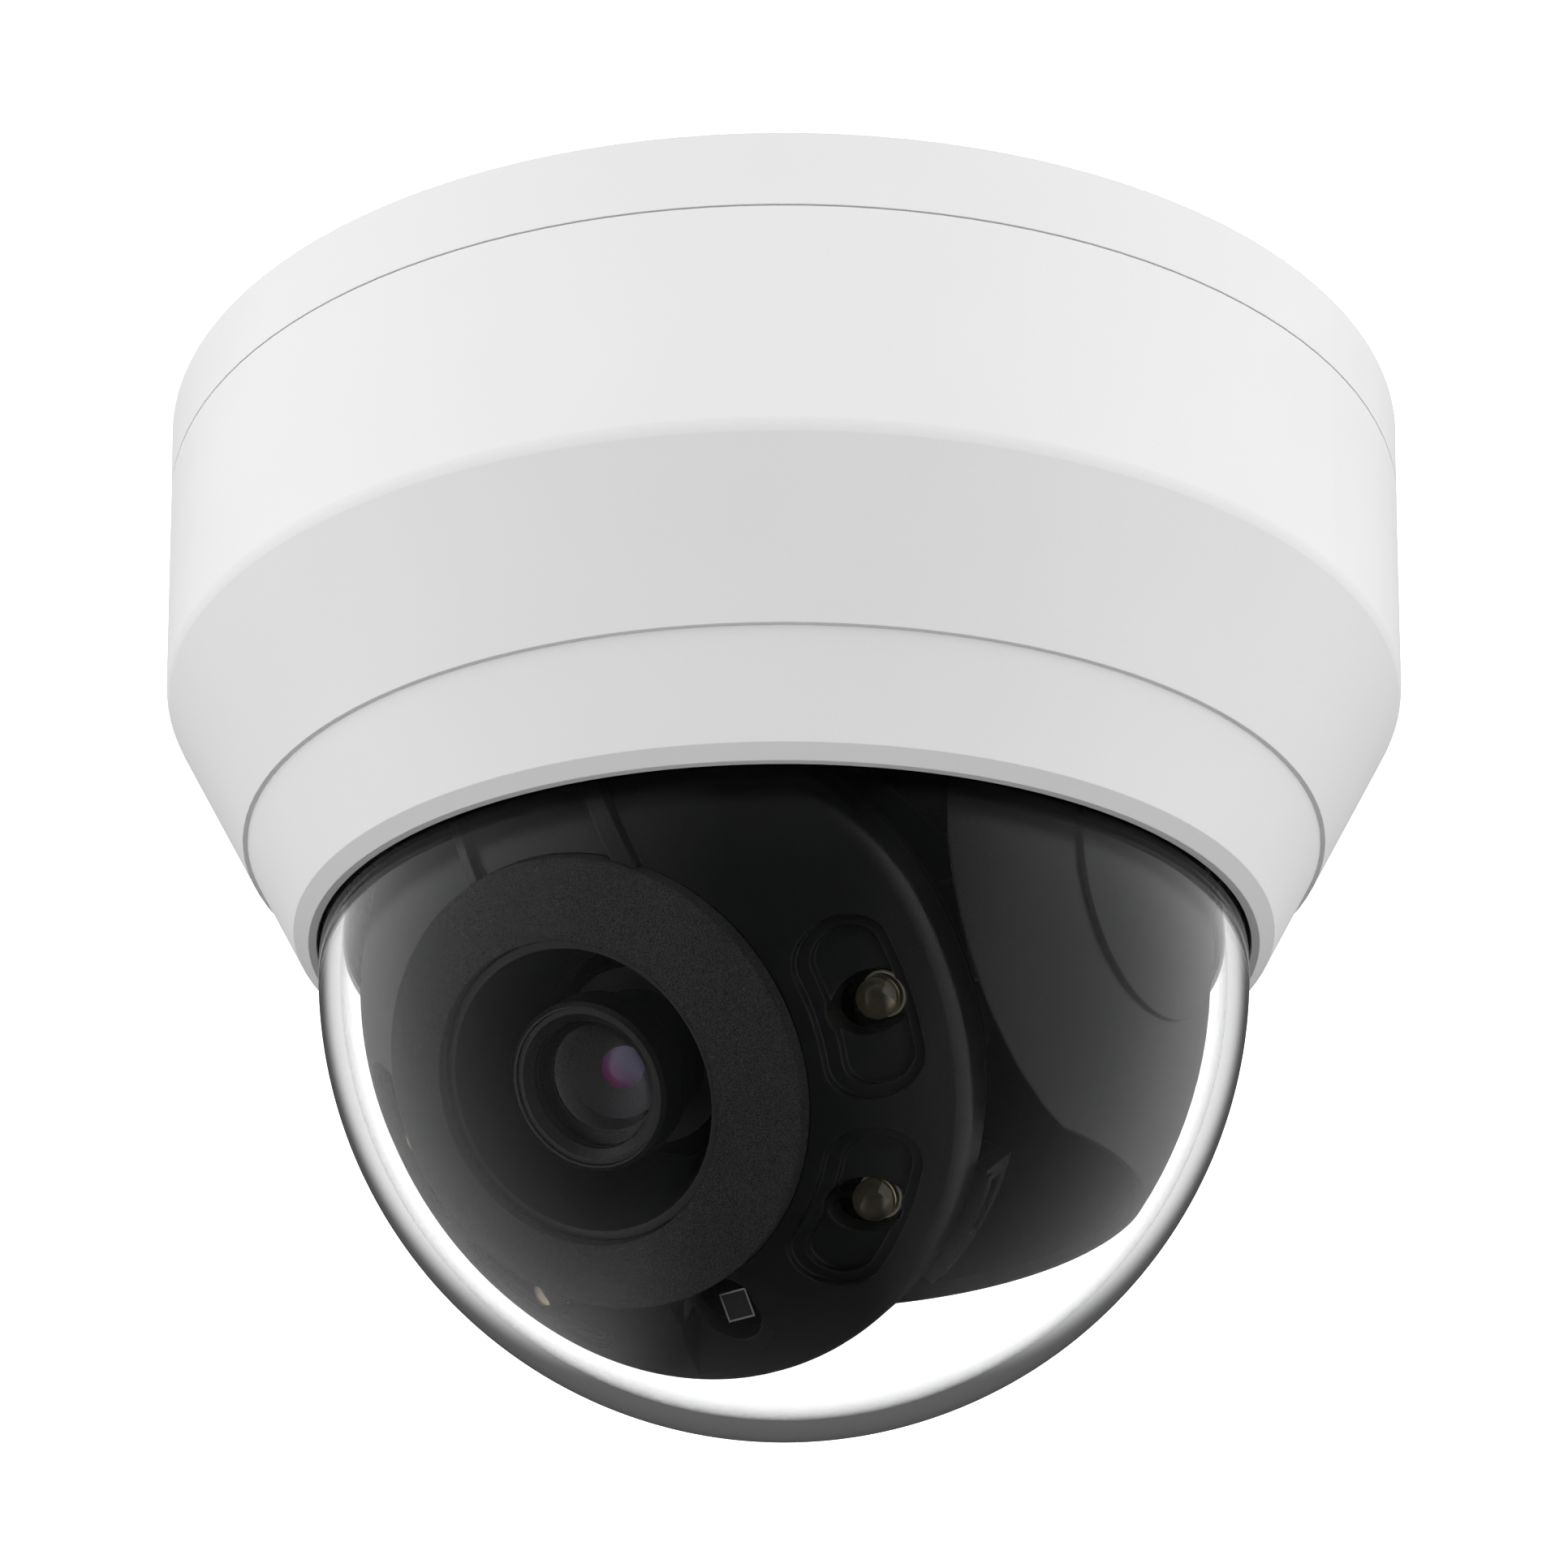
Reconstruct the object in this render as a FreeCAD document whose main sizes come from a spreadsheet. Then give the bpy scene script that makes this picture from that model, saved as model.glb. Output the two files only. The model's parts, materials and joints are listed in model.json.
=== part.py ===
"""Dome CCTV camera: a ceiling base, a lift-off cover with a clear bubble, and a three-axis camera
inside (pan, tilt and lens rotation). Millimetres, +Z up into the ceiling, origin at the centre of the
ceiling face. X is the tilt axis and the lens looks towards -Y and down."""
import FreeCAD, Part
import Sketcher
import math
import os

doc = FreeCAD.newDocument("dome_camera")
sheet = doc.addObject("Spreadsheet::Sheet", "Dims")
Vector = FreeCAD.Vector
Z_AXIS = Vector(0, 0, 1)


# ---- sizes: a number and the sheet formula that it comes from ------------------------------------
class Size:
    """A length that knows both its number and its formula in the sheet."""

    def __init__(self, number, text):
        self.number = number
        self.text = text

    def join(self, other, sign, number):
        text = other.text if isinstance(other, Size) else repr(float(other))
        return Size(number, "(%s %s %s)" % (self.text, sign, text))

    def __add__(self, other):
        return self.join(other, "+", self.number + value(other))

    def __sub__(self, other):
        return self.join(other, "-", self.number - value(other))

    def __mul__(self, other):
        return self.join(other, "*", self.number * value(other))

    def __truediv__(self, other):
        return self.join(other, "/", self.number / value(other))

    def __neg__(self):
        return Size(-self.number, "(0 - %s)" % self.text)


def value(size):
    return size.number if isinstance(size, Size) else float(size)


def side(long_side, short_side):
    """The other short side of a right triangle."""
    number = math.sqrt(value(long_side) ** 2 - value(short_side) ** 2)
    return Size(number, "sqrt(%s ^ 2 - %s ^ 2)" % (as_size(long_side).text, as_size(short_side).text))


def hypotenuse(first, second):
    number = math.hypot(value(first), value(second))
    return Size(number, "sqrt(%s ^ 2 + %s ^ 2)" % (as_size(first).text, as_size(second).text))


def as_size(size):
    return size if isinstance(size, Size) else Size(float(size), repr(float(size)))


def bind(thing, path, size):
    thing.setExpression(path, as_size(size).text)


class Sheet:
    """Writes each named dimension to its own cell and gives it back as a Size."""

    def __init__(self):
        self.row = 0

    def __call__(self, name, number, note):
        self.row += 1
        sheet.set("A%d" % self.row, note)
        sheet.set("B%d" % self.row, str(number))
        sheet.setAlias("B%d" % self.row, name)
        return Size(float(number), "Dims." + name)


dim = Sheet()
gap = dim("gap", 0.3, "clearance between moving pieces")

# Base on the ceiling
base_radius = dim("base_radius", 60.0, "outer radius at the ceiling")
base_low_radius = dim("base_low_radius", 59.67, "outer radius at the parting line")
base_depth = dim("base_depth", 7.0, "depth of the visible base band")
plate = dim("plate", 3.0, "thickness of the base plate")
spigot_radius = dim("spigot_radius", 57.2, "collar that locates the cover")
spigot_wall = dim("spigot_wall", 2.0, "collar wall")
spigot_depth = dim("spigot_depth", 11.0, "lower edge of the collar")
hub_radius = dim("hub_radius", 15.5, "pan hub outside")
hub_bore = dim("hub_bore", 12.5, "pan hub bore")
hub_depth = dim("hub_depth", 27.5, "lower end of the pan hub")
hub_slot = dim("hub_slot", 10.0, "width of the hub's slot for the flat cable")
hub_slot_top = dim("hub_slot_top", 14.2, "depth of the upper end of the hub's slot")
hub_slot_low = dim("hub_slot_low", 19.2, "depth of the lower end of the hub's slot")
cable_hole = dim("cable_hole", 9.0, "cable hole radius in the plate")
cable_place = dim("cable_place", 38.0, "cable hole from the centre, along Y")
cable_bore = dim("cable_bore", 4.0, "radius of the grommet's bore")
fixing_circle = dim("fixing_circle", 48.0, "radius of the circle of ceiling screws")
fixing_hole = dim("fixing_hole", 2.25, "ceiling screw hole radius")
post_radius = dim("post_radius", 3.0, "board post radius")
post_place = dim("post_place", 26.0, "board post offset along X and Y")

# Main board and what it carries
board_top = dim("board_top", 12.0, "depth of the main board's upper face")
board = dim("board", 1.6, "thickness of every circuit board")
board_radius = dim("board_radius", 41.0, "main board outer radius")
board_bore = dim("board_bore", 17.0, "main board inner radius")

# Cover and trim ring
cover_gap = dim("cover_gap", 0.15, "open parting line under the base")
drum_radius = dim("drum_radius", 58.85, "drum radius where the cone starts")
drum_depth = dim("drum_depth", 28.0, "depth where the cone starts")
cone_radius = dim("cone_radius", 50.89, "cone radius at the step")
cone_depth = dim("cone_depth", 42.53, "depth of the step")
cover_wall = dim("cover_wall", 2.2, "cover wall")
cover_lip = dim("cover_lip", 1.9, "thickness of the cover's inner lip")
lip_radius = dim("lip_radius", 44.5, "bore of the cover's inner lip")
cover_round = dim("cover_round", 2.5, "rounding between drum and cone")
trim_radius = dim("trim_radius", 50.46, "trim ring radius under the step")
trim_edge_radius = dim("trim_edge_radius", 45.78, "trim ring radius at the edge over its bevel")
trim_edge_depth = dim("trim_edge_depth", 51.15, "depth of that edge")
trim_low_radius = dim("trim_low_radius", 44.34, "trim ring radius under the bevel")
trim_depth = dim("trim_depth", 52.2, "depth of the trim ring's lower face")
trim_bore = dim("trim_bore", 43.58, "trim ring bore round the bubble")
ledge_radius = dim("ledge_radius", 46.1, "trim ring ledge radius")
ledge_depth = dim("ledge_depth", 48.0, "depth of the ledge under the bubble flange")

# Bubble
dome_drop = dim("dome_drop", 53.5, "depth of the bubble's centre")
dome_radius = dim("dome_radius", 43.3, "bubble outside radius")
dome_wall = dim("dome_wall", 2.0, "bubble wall")
flange_radius = dim("flange_radius", 45.9, "bubble flange radius")

# Pan unit
table_top = dim("table_top", 28.5, "depth of the pan table's upper face")
table = dim("table", 2.5, "pan table thickness")
table_radius = dim("table_radius", 32.6, "pan table radius")
stub_radius = dim("stub_radius", 10.0, "pan stub radius in its bearing")
stub_top = dim("stub_top", 21.2, "depth of the pan stub's upper end")
wire_bore = dim("wire_bore", 6.0, "bore for the wires")
running = dim("running", 0.06, "running clearance in the bearings")
shroud_radius = dim("shroud_radius", 39.7, "shroud outside radius")
shroud_wall = dim("shroud_wall", 1.3, "shroud wall")
shroud_low = dim("shroud_low", 23.0, "shroud lower rim below the centre")
shroud_high = dim("shroud_high", 21.5, "shroud upper rim above the centre")
slot_half = dim("slot_half", 31.8, "half width of the shroud's front slot")
strap_wall = dim("strap_wall", 2.2, "yoke strap thickness")
strap_half = dim("strap_half", 9.0, "half width of a yoke strap")
boss_radius = dim("boss_radius", 12.2, "radius of the pivot caps")
trunnion = dim("trunnion", 3.0, "tilt trunnion radius")
boss_face = dim("boss_face", 33.2, "inner face of the yoke bosses from the centre")

# Lens unit, measured along the lens axis from the bubble's centre
tilt_rest = dim("tilt_rest", 34.3, "lens below the horizon at rest, degrees")
roll_rest = dim("roll_rest", 3.0, "lens unit turned about its axis at rest, degrees")
cradle_bore = dim("cradle_bore", 17.3, "cradle bore")
cradle_radius = dim("cradle_radius", 19.5, "cradle ring outside radius")
cradle_half = dim("cradle_half", 5.0, "half length of the cradle ring")
neck_radius = dim("neck_radius", 17.0, "rear shell radius inside the cradle")
shell_wall = dim("shell_wall", 1.6, "rear shell wall")
shell_back = dim("shell_back", 7.0, "rear face behind the centre")
cap_radius = dim("cap_radius", 39.5, "front cap sphere radius")
cap_wall = dim("cap_wall", 3.1, "front cap wall")
cap_rim = dim("cap_rim", 30.2, "front cap rim radius from the lens axis")
cap_back = dim("cap_back", 21.8, "joint between cap and rear shell")
cap_round = dim("cap_round", 3.0, "rounding of the cap's rim")
shield_outer = dim("shield_outer", 19.7, "light shield outer radius")
shield_inner = dim("shield_inner", 13.25, "light shield inner radius")
shield_sphere = dim("shield_sphere", 40.8, "sphere that the light shield's face follows")
shield_back = dim("shield_back", 31.0, "back of the light shield")
window_place = dim("window_place", 24.4, "centre line radius of the infrared windows")
window_half = dim("window_half", 3.4, "half width of a window at the surface")
window_span = dim("window_span", 10.5, "half angle of a window's centre line, degrees")
window_floor = dim("window_floor", 38.0, "sphere of the window floors")
led_hole = dim("led_hole", 2.7, "LED hole radius")
led_face = dim("led_face", 25.0, "front face of the LED board")
led_lens = dim("led_lens", 1.8, "radius of the LED's clear dome")
barrel_front = dim("barrel_front", 36.8, "front of the lens barrel")
barrel_radius = dim("barrel_radius", 7.46, "lens barrel head radius")
thread_radius = dim("thread_radius", 6.0, "lens thread radius")
glass_radius = dim("glass_radius", 5.6, "front lens radius")
filter_travel = dim("filter_travel", 6.4, "travel of the infrared filter")

BASE_PLACE = FreeCAD.Placement()
DOME_PLACE = FreeCAD.Placement(Vector(0, 0, -dome_drop.number), FreeCAD.Rotation())
TILT_TURN = FreeCAD.Rotation(Vector(1, 0, 0), 90 + tilt_rest.number)
TILT_PLACE = DOME_PLACE * FreeCAD.Placement(Vector(), TILT_TURN)
HEAD_PLACE = TILT_PLACE * FreeCAD.Placement(Vector(), FreeCAD.Rotation(Z_AXIS, roll_rest.number))
ALONG_X = FreeCAD.Rotation(Vector(0, 1, 0), 90)
ALONG_Y = FreeCAD.Rotation(Vector(1, 0, 0), -90)
sub_parts = []


# ---- building blocks ------------------------------------------------------------------------------
def keep(thing, label, place=BASE_PLACE):
    """Names a finished sub-part and puts it in its frame."""
    thing.Label = label
    thing.Placement = place
    sub_parts.append(thing)
    return thing


def move(thing, x, y, z):
    for letter, size in (("x", x), ("y", y), ("z", z)):
        bind(thing, "Placement.Base." + letter, size)


def cylinder(radius, length, z, x=0, y=0, turn=None):
    """A cylinder that starts at x, y, z and runs along +Z, or as turned."""
    thing = doc.addObject("Part::Cylinder", "cylinder")
    if turn:
        thing.Placement = FreeCAD.Placement(Vector(), turn)
    bind(thing, "Radius", radius)
    bind(thing, "Height", length)
    move(thing, x, y, z)
    return thing


def block(width, depth, height, x, y, z, angle=0):
    """A box centred on x, y whose lowest face is at z, turned about its own middle."""
    thing = doc.addObject("Part::Box", "block")
    bind(thing, "Length", width)
    bind(thing, "Width", depth)
    bind(thing, "Height", height)
    half_x = as_size(width) / 2
    half_y = as_size(depth) / 2
    if angle:
        turn = FreeCAD.Rotation(Z_AXIS, angle)
        thing.Placement = FreeCAD.Placement(Vector(), turn)
        cos = math.cos(math.radians(angle))
        sin = math.sin(math.radians(angle))
        move(thing, as_size(x) - half_x * cos + half_y * sin, as_size(y) - half_x * sin - half_y * cos, z)
    else:
        move(thing, as_size(x) - half_x, as_size(y) - half_y, z)
    return thing


def ball(radius, z=0):
    thing = doc.addObject("Part::Sphere", "ball")
    bind(thing, "Radius", radius)
    move(thing, 0, 0, z)
    return thing


def cut(base, *tools):
    for tool in tools:
        result = doc.addObject("Part::Cut", "cut")
        result.Base = base
        result.Tool = tool
        base = result
    return base


def fuse(*parts):
    result = doc.addObject("Part::MultiFuse", "fuse")
    result.Shapes = list(parts)
    return result


def common(*parts):
    result = doc.addObject("Part::MultiCommon", "common")
    result.Shapes = list(parts)
    return result


def group(*parts):
    """Separate solids kept as one sub-part, such as a set of screws."""
    result = doc.addObject("Part::Compound", "group")
    result.Links = list(parts)
    return result


def origin_plane(body, role):
    return [item for item in body.Origin.OriginFeatures if item.Role == role][0]


def new_sketch(body, role, offset=0):
    sketch = body.newObject("Sketcher::SketchObject", "sketch")
    sketch.AttachmentSupport = [(origin_plane(body, role), "")]
    sketch.MapMode = "FlatFace"
    bind(sketch, "AttachmentOffset.Base.z", offset)
    return sketch


def pin_point(sketch, geometry, end, x, y):
    for kind, size in (("DistanceX", x), ("DistanceY", y)):
        if size is None:
            continue
        index = sketch.addConstraint(Sketcher.Constraint(kind, -1, 1, geometry, end, value(size)))
        bind(sketch, "Constraints[%d]" % index, size)


def turned(points, arcs=()):
    """A body turned about Z. Points are (radius, height); arcs maps the number of a stretch to the
    radius of the arc about the origin that it follows; an end of an arc needs only its smaller
    coordinate."""
    body = doc.addObject("PartDesign::Body", "turned")
    sketch = new_sketch(body, "XZ_Plane")
    arcs = dict(arcs)
    places = [Vector(value(radius), value(height), 0) for radius, height in points]
    count = len(points)
    for number in range(count):
        start = places[number]
        end = places[(number + 1) % count]
        if number in arcs:
            radius = value(arcs[number])
            first = math.atan2(start.y, start.x)
            last = math.atan2(end.y, end.x)
            circle = Part.Circle(Vector(), Z_AXIS, radius)
            sketch.addGeometry(Part.ArcOfCircle(circle, min(first, last), max(first, last)))
        else:
            sketch.addGeometry(Part.LineSegment(start, end))
    for number in range(count):
        follower = (number + 1) % count
        leaving = end_of(sketch, number, places[follower])
        entering = end_of(sketch, follower, places[follower])
        sketch.addConstraint(Sketcher.Constraint("Coincident", number, leaving, follower, entering))
    for number, radius in arcs.items():
        sketch.addConstraint(Sketcher.Constraint("Coincident", number, 3, -1, 1))
        index = sketch.addConstraint(Sketcher.Constraint("Radius", number, value(radius)))
        bind(sketch, "Constraints[%d]" % index, radius)
    for number, (radius, height) in enumerate(points):
        on_arc = number in arcs or (number - 1) % count in arcs
        near_axis = abs(value(radius)) < abs(value(height))
        corner = end_of(sketch, number, places[number])
        pinned_radius = None if on_arc and not near_axis else radius
        pinned_height = None if on_arc and near_axis else height
        pin_point(sketch, number, corner, pinned_radius, pinned_height)
    revolution = body.newObject("PartDesign::Revolution", "revolution")
    revolution.Profile = sketch
    revolution.ReferenceAxis = (sketch, ["V_Axis"])
    revolution.Angle = 360
    return body


def end_of(sketch, geometry, place):
    """Whether a piece of a sketch starts (1) or ends (2) at a place."""
    start = sketch.getPoint(geometry, 1)
    end = sketch.getPoint(geometry, 2)
    return 1 if start.distanceToPoint(place) <= end.distanceToPoint(place) else 2


def discs(body, height, circles, kind, length, reverse=False):
    """Pads or pockets a set of circles, each (x, y, radius), drawn at a height."""
    sketch = new_sketch(body, "XY_Plane", height)
    for x, y, radius in circles:
        shape = Part.Circle(Vector(value(x), value(y), 0), Z_AXIS, value(radius))
        number = sketch.addGeometry(shape)
        pin_point(sketch, number, 3, x, y)
        index = sketch.addConstraint(Sketcher.Constraint("Radius", number, value(radius)))
        bind(sketch, "Constraints[%d]" % index, radius)
    feature = body.newObject("PartDesign::" + kind, kind.lower())
    feature.Profile = sketch
    bind(feature, "Length", length)
    feature.Reversed = reverse
    return feature


def round_circle(body, radius, height, rounding):
    """Rounds the circular edge of a turned body that has a radius and a height."""
    doc.recompute()
    base = body.Tip
    names = []
    for number, edge in enumerate(base.Shape.Edges, 1):
        round_edge = isinstance(edge.Curve, Part.Circle) and abs(edge.Curve.Radius - value(radius)) < 0.01
        if round_edge and abs(edge.Curve.Center.z - value(height)) < 0.01:
            names.append("Edge%d" % number)
    fillet = body.newObject("PartDesign::Fillet", "fillet")
    fillet.Base = (base, names)
    bind(fillet, "Radius", rounding)
    return fillet


def polar(radius, angle):
    """The place on a circle at an angle in degrees."""
    turn = math.radians(angle)
    return as_size(radius) * math.cos(turn), as_size(radius) * math.sin(turn)


def screws(places, seat, head_radius, head_length, shank_radius, shank_length, up=True):
    """Pan-head screws whose heads rest on a face at height seat; up means the shank runs upwards."""
    made = []
    for x, y in places:
        head_z = as_size(seat) - head_length if up else as_size(seat)
        shank_z = as_size(seat) if up else as_size(seat) - shank_length
        head = cylinder(head_radius, head_length, head_z, x, y)
        slot_z = as_size(seat) - head_length if up else as_size(seat) + head_length - head_length * 0.45
        slots = [block(head_radius * 1.3, head_radius * 0.3, head_length * 0.45, x, y, slot_z),
                 block(head_radius * 0.3, head_radius * 1.3, head_length * 0.45, x, y, slot_z)]
        made.append(fuse(cut(head, *slots), cylinder(shank_radius, shank_length, shank_z, x, y)))
    return group(*made)


# ---- ceiling base ---------------------------------------------------------------------------------
CORNERS = [(1, 1), (-1, 1), (-1, -1), (1, -1)]
post_places = [(post_place * x, post_place * y) for x, y in CORNERS]
fixing_places = [polar(fixing_circle, angle) for angle in (30, 150, 270)]
post_pilot = dim("post_pilot", 1.2, "pilot hole radius in a board post")


def mounting_base():
    body = turned([(0, 0), (base_radius, 0), (base_low_radius, -base_depth), (spigot_radius, -base_depth),
                   (spigot_radius, -spigot_depth), (spigot_radius - spigot_wall, -spigot_depth),
                   (spigot_radius - spigot_wall, -plate), (hub_radius, -plate), (hub_radius, -hub_depth),
                   (hub_bore, -hub_depth), (hub_bore, -plate), (0, -plate)])
    posts = [(x, y, post_radius) for x, y in post_places]
    discs(body, -plate, posts, "Pad", board_top - plate, reverse=True)
    holes = [(x, y, fixing_hole) for x, y in fixing_places] + [(0, cable_place, cable_hole)]
    discs(body, 1, holes, "Pocket", plate + 2)
    pilots = [(x, y, post_pilot) for x, y in post_places]
    discs(body, -plate - 1, pilots, "Pocket", board_top)
    cable_way = block(hub_slot, hub_radius, hub_slot_low - hub_slot_top, 0, -hub_radius, -hub_slot_low)
    keep(cut(body, cable_way), "mounting_base")


def cable_grommet():
    recess, lip, lip_depth = 0.5, 2.0, 1.6
    outside = cable_hole + lip
    low = -plate - lip_depth
    body = turned([(cable_bore, -recess), (cable_hole, -recess), (cable_hole, -plate), (outside, -plate),
                   (outside, low), (cable_bore, low)])
    keep(body, "cable_grommet", FreeCAD.Placement(Vector(0, cable_place.number, 0), FreeCAD.Rotation()))


def cover_clips():
    """Three spring clips on the inside of the collar; their toes hold the cover."""
    clip_wall, clip_width, toe_length = 0.6, 8, 2.2
    inside = spigot_radius - spigot_wall
    leaf_end = -spigot_depth - 0.5
    clips = []
    for angle in (90, 210, 330):
        leaf_x, leaf_y = polar(inside - 1.2, angle)
        toe_x, toe_y = polar(inside - 0.4, angle)
        leaf = block(clip_wall, clip_width, spigot_depth - plate, leaf_x, leaf_y, leaf_end, angle)
        toe = block(toe_length, clip_width, clip_wall, toe_x, toe_y, leaf_end - clip_wall, angle)
        clips.append(fuse(leaf, toe))
    keep(group(*clips), "cover_clips")


# ---- main board -----------------------------------------------------------------------------------
board_low = -board_top - board
notch_width = dim("notch_width", 26.0, "width of the board's notch for the cable")
notch_depth = 20


def main_board():
    body = turned([(board_bore, -board_top), (board_radius, -board_top), (board_radius, board_low),
                   (board_bore, board_low)])
    holes = [(x, y, post_pilot + 0.1) for x, y in post_places]
    discs(body, -board_top + 1, holes, "Pocket", board + 2)
    notch = block(notch_width, notch_depth, board + 2, 0, cable_place - 4, board_low - 1)
    keep(cut(body, notch), "main_board")


def board_screws():
    head_radius, head_length, shank_length = 2.4, 1.7, 6.0
    keep(screws(post_places, board_low, head_radius, head_length, post_pilot, shank_length), "board_screws")


jack_place = (-29, 2.5)
jack_width = dim("jack_width", 16.0, "network jack width")
jack_length = dim("jack_length", 21.0, "network jack length")
jack_height = dim("jack_height", 13.4, "network jack height")


def network_jack():
    jack_x, jack_y = jack_place
    jack_low = board_low - jack_height
    socket_length = 15
    socket_y = as_size(jack_y) + jack_length / 2 - 7.0
    shell = block(jack_width, jack_length, jack_height, jack_x, jack_y, jack_low)
    socket = block(11.8, socket_length, 8.4, jack_x, socket_y, jack_low + 2.6)
    latch_way = block(6.0, socket_length, 3.0, jack_x, socket_y, jack_low + 1.2)
    keep(cut(shell, fuse(socket, latch_way)), "network_jack")


def jack_contacts():
    jack_x, jack_y = jack_place
    pin_count, pitch, pin, pin_length = 8, 1.02, 0.4, 9
    pins = []
    for number in range(pin_count):
        x = jack_x + (number - (pin_count - 1) / 2) * pitch
        pins.append(block(pin, pin_length, pin, x, jack_y + 2, board_low - 3.4))
    keep(group(*pins), "jack_contacts")


terminal_place = (30, 10)
terminal_height = dim("terminal_height", 9.6, "power terminal height")
TERMINAL_WAYS = (-2.5, 2.5)


def power_terminal():
    width, depth = 10.4, 8.0
    way_radius, way_length, way_depth = 1.6, 6, 6.4
    well_radius, well_depth = 1.7, 1.7
    x, y = terminal_place
    low = board_low - terminal_height
    housing = block(width, depth, terminal_height, x, y, low)
    tools = []
    for shift in TERMINAL_WAYS:
        tools.append(cylinder(way_radius, way_length, board_low - way_depth, x + shift, y - 1.5, ALONG_Y))
    for shift in TERMINAL_WAYS:
        tools.append(cylinder(well_radius, well_depth + 0.5, low - 0.5, x + shift, y))
    keep(cut(housing, *tools), "power_terminal")


def terminal_screws():
    head_radius, head_length, driver_slot = 1.6, 1.3, 0.5
    x, y = terminal_place
    seat = board_low - terminal_height + 0.4
    made = []
    for shift in TERMINAL_WAYS:
        head = cylinder(head_radius, head_length, seat, x + shift, y)
        made.append(cut(head, block(3.4, driver_slot, driver_slot, x + shift, y, seat)))
    keep(group(*made), "terminal_screws")


def card_slot():
    x, y = 29, -9
    slot_height, card_width, card_height = 1.9, 11.4, 1.0
    shell = block(15, 14, slot_height, x, y, board_low - slot_height)
    mouth = block(14, card_width, card_height, x + 1, y, board_low - slot_height + 0.5)
    keep(cut(shell, mouth), "card_slot")


processor_place = (-4, -29)
processor_side = dim("processor_side", 15.0, "side of the processor and its heat sink")
processor_height = dim("processor_height", 1.3, "processor height")


def processor():
    x, y = processor_place
    low = board_low - processor_height
    keep(block(processor_side, processor_side, processor_height, x, y, low), "processor")


def heat_sink():
    foot_height, fin_height, fin_wall, fin_pitch, fin_count = 1.5, 6.5, 0.9, 2.8, 6
    x, y = processor_place
    foot_low = board_low - processor_height - foot_height
    parts = [block(processor_side, processor_side, foot_height, x, y, foot_low)]
    for number in range(fin_count):
        fin_x = x + (number - (fin_count - 1) / 2) * fin_pitch
        parts.append(block(fin_wall, processor_side, fin_height, fin_x, y, foot_low - fin_height))
    keep(fuse(*parts), "heat_sink")


def capacitors():
    can_radius, can_height, can_circle = 2.5, 6.8, 27
    cans = []
    for angle in (215, 229):
        x, y = polar(can_circle, angle)
        cans.append(cylinder(can_radius, can_height, board_low - can_height, x, y))
    keep(group(*cans), "capacitors")


button_place = (14, -30)
button_radius = dim("button_radius", 1.7, "reset plunger radius")
switch_height = dim("switch_height", 3.5, "reset switch housing height")


def reset_switch():
    switch_side, well_depth = 6.2, 2.2
    housing = block(switch_side, switch_side, switch_height, *button_place, board_low - switch_height)
    well = cylinder(button_radius + 0.15, well_depth + 0.2, board_low - switch_height - 0.2, *button_place)
    keep(cut(housing, well), "reset_switch")


def reset_plunger():
    length, proud = 3.4, 1.9
    keep(cylinder(button_radius, length, board_low - switch_height - proud, *button_place), "reset_plunger")


# ---- cover ----------------------------------------------------------------------------------------
cone_slope = (drum_radius - cone_radius) / (cone_depth - drum_depth)
screw_circle = dim("screw_circle", 47.3, "circle of the trim ring screws")
cover_screw_places = [polar(screw_circle, angle) for angle in (45, 135, 225, 315)]
cover_pilot = dim("cover_pilot", 1.0, "pilot hole radius in the trim ring")
pilot_depth = dim("pilot_depth", 2.9, "depth of those pilot holes")


def top_cover():
    cone_wall = cover_wall * hypotenuse(1, cone_slope)
    lip_wall_radius = cone_radius - cone_wall + cover_lip * cone_slope
    inside_radius = drum_radius - cover_wall
    inside_depth = cone_depth - (inside_radius - cone_radius + cone_wall) / cone_slope
    top_depth = base_depth + cover_gap
    body = turned([(base_low_radius - cover_wall, -top_depth), (base_low_radius, -top_depth),
                   (drum_radius, -drum_depth), (cone_radius, -cone_depth), (lip_radius, -cone_depth),
                   (lip_radius, -cone_depth + cover_lip), (lip_wall_radius, -cone_depth + cover_lip),
                   (inside_radius, -inside_depth)])
    round_circle(body, drum_radius, -drum_depth, cover_round)
    holes = [(x, y, cover_pilot + 0.1) for x, y in cover_screw_places]
    discs(body, -cone_depth + cover_lip + 1, holes, "Pocket", cover_lip + 2)
    keep(body, "top_cover")


def trim_ring():
    body = turned([(trim_radius, -cone_depth), (trim_edge_radius, -trim_edge_depth),
                   (trim_low_radius, -trim_depth), (trim_bore, -trim_depth), (trim_bore, -ledge_depth),
                   (ledge_radius, -ledge_depth), (ledge_radius, -cone_depth)])
    pilots = [(x, y, cover_pilot) for x, y in cover_screw_places]
    discs(body, -cone_depth + 1, pilots, "Pocket", pilot_depth + 1)
    keep(body, "trim_ring")


def cover_screws():
    seat = -cone_depth + cover_lip
    head_radius, head_length = 1.8, 1.4
    shank_length = cover_lip + 2.7
    keep(screws(cover_screw_places, seat, head_radius, head_length, cover_pilot, shank_length, up=False),
         "cover_screws")


gasket_height = dim("gasket_height", 1.0, "thickness of the gasket under the flange")
flange_low = dome_drop - ledge_depth + gasket_height
flange_high = flange_low + dome_wall
ledge_play = 0.1


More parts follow.
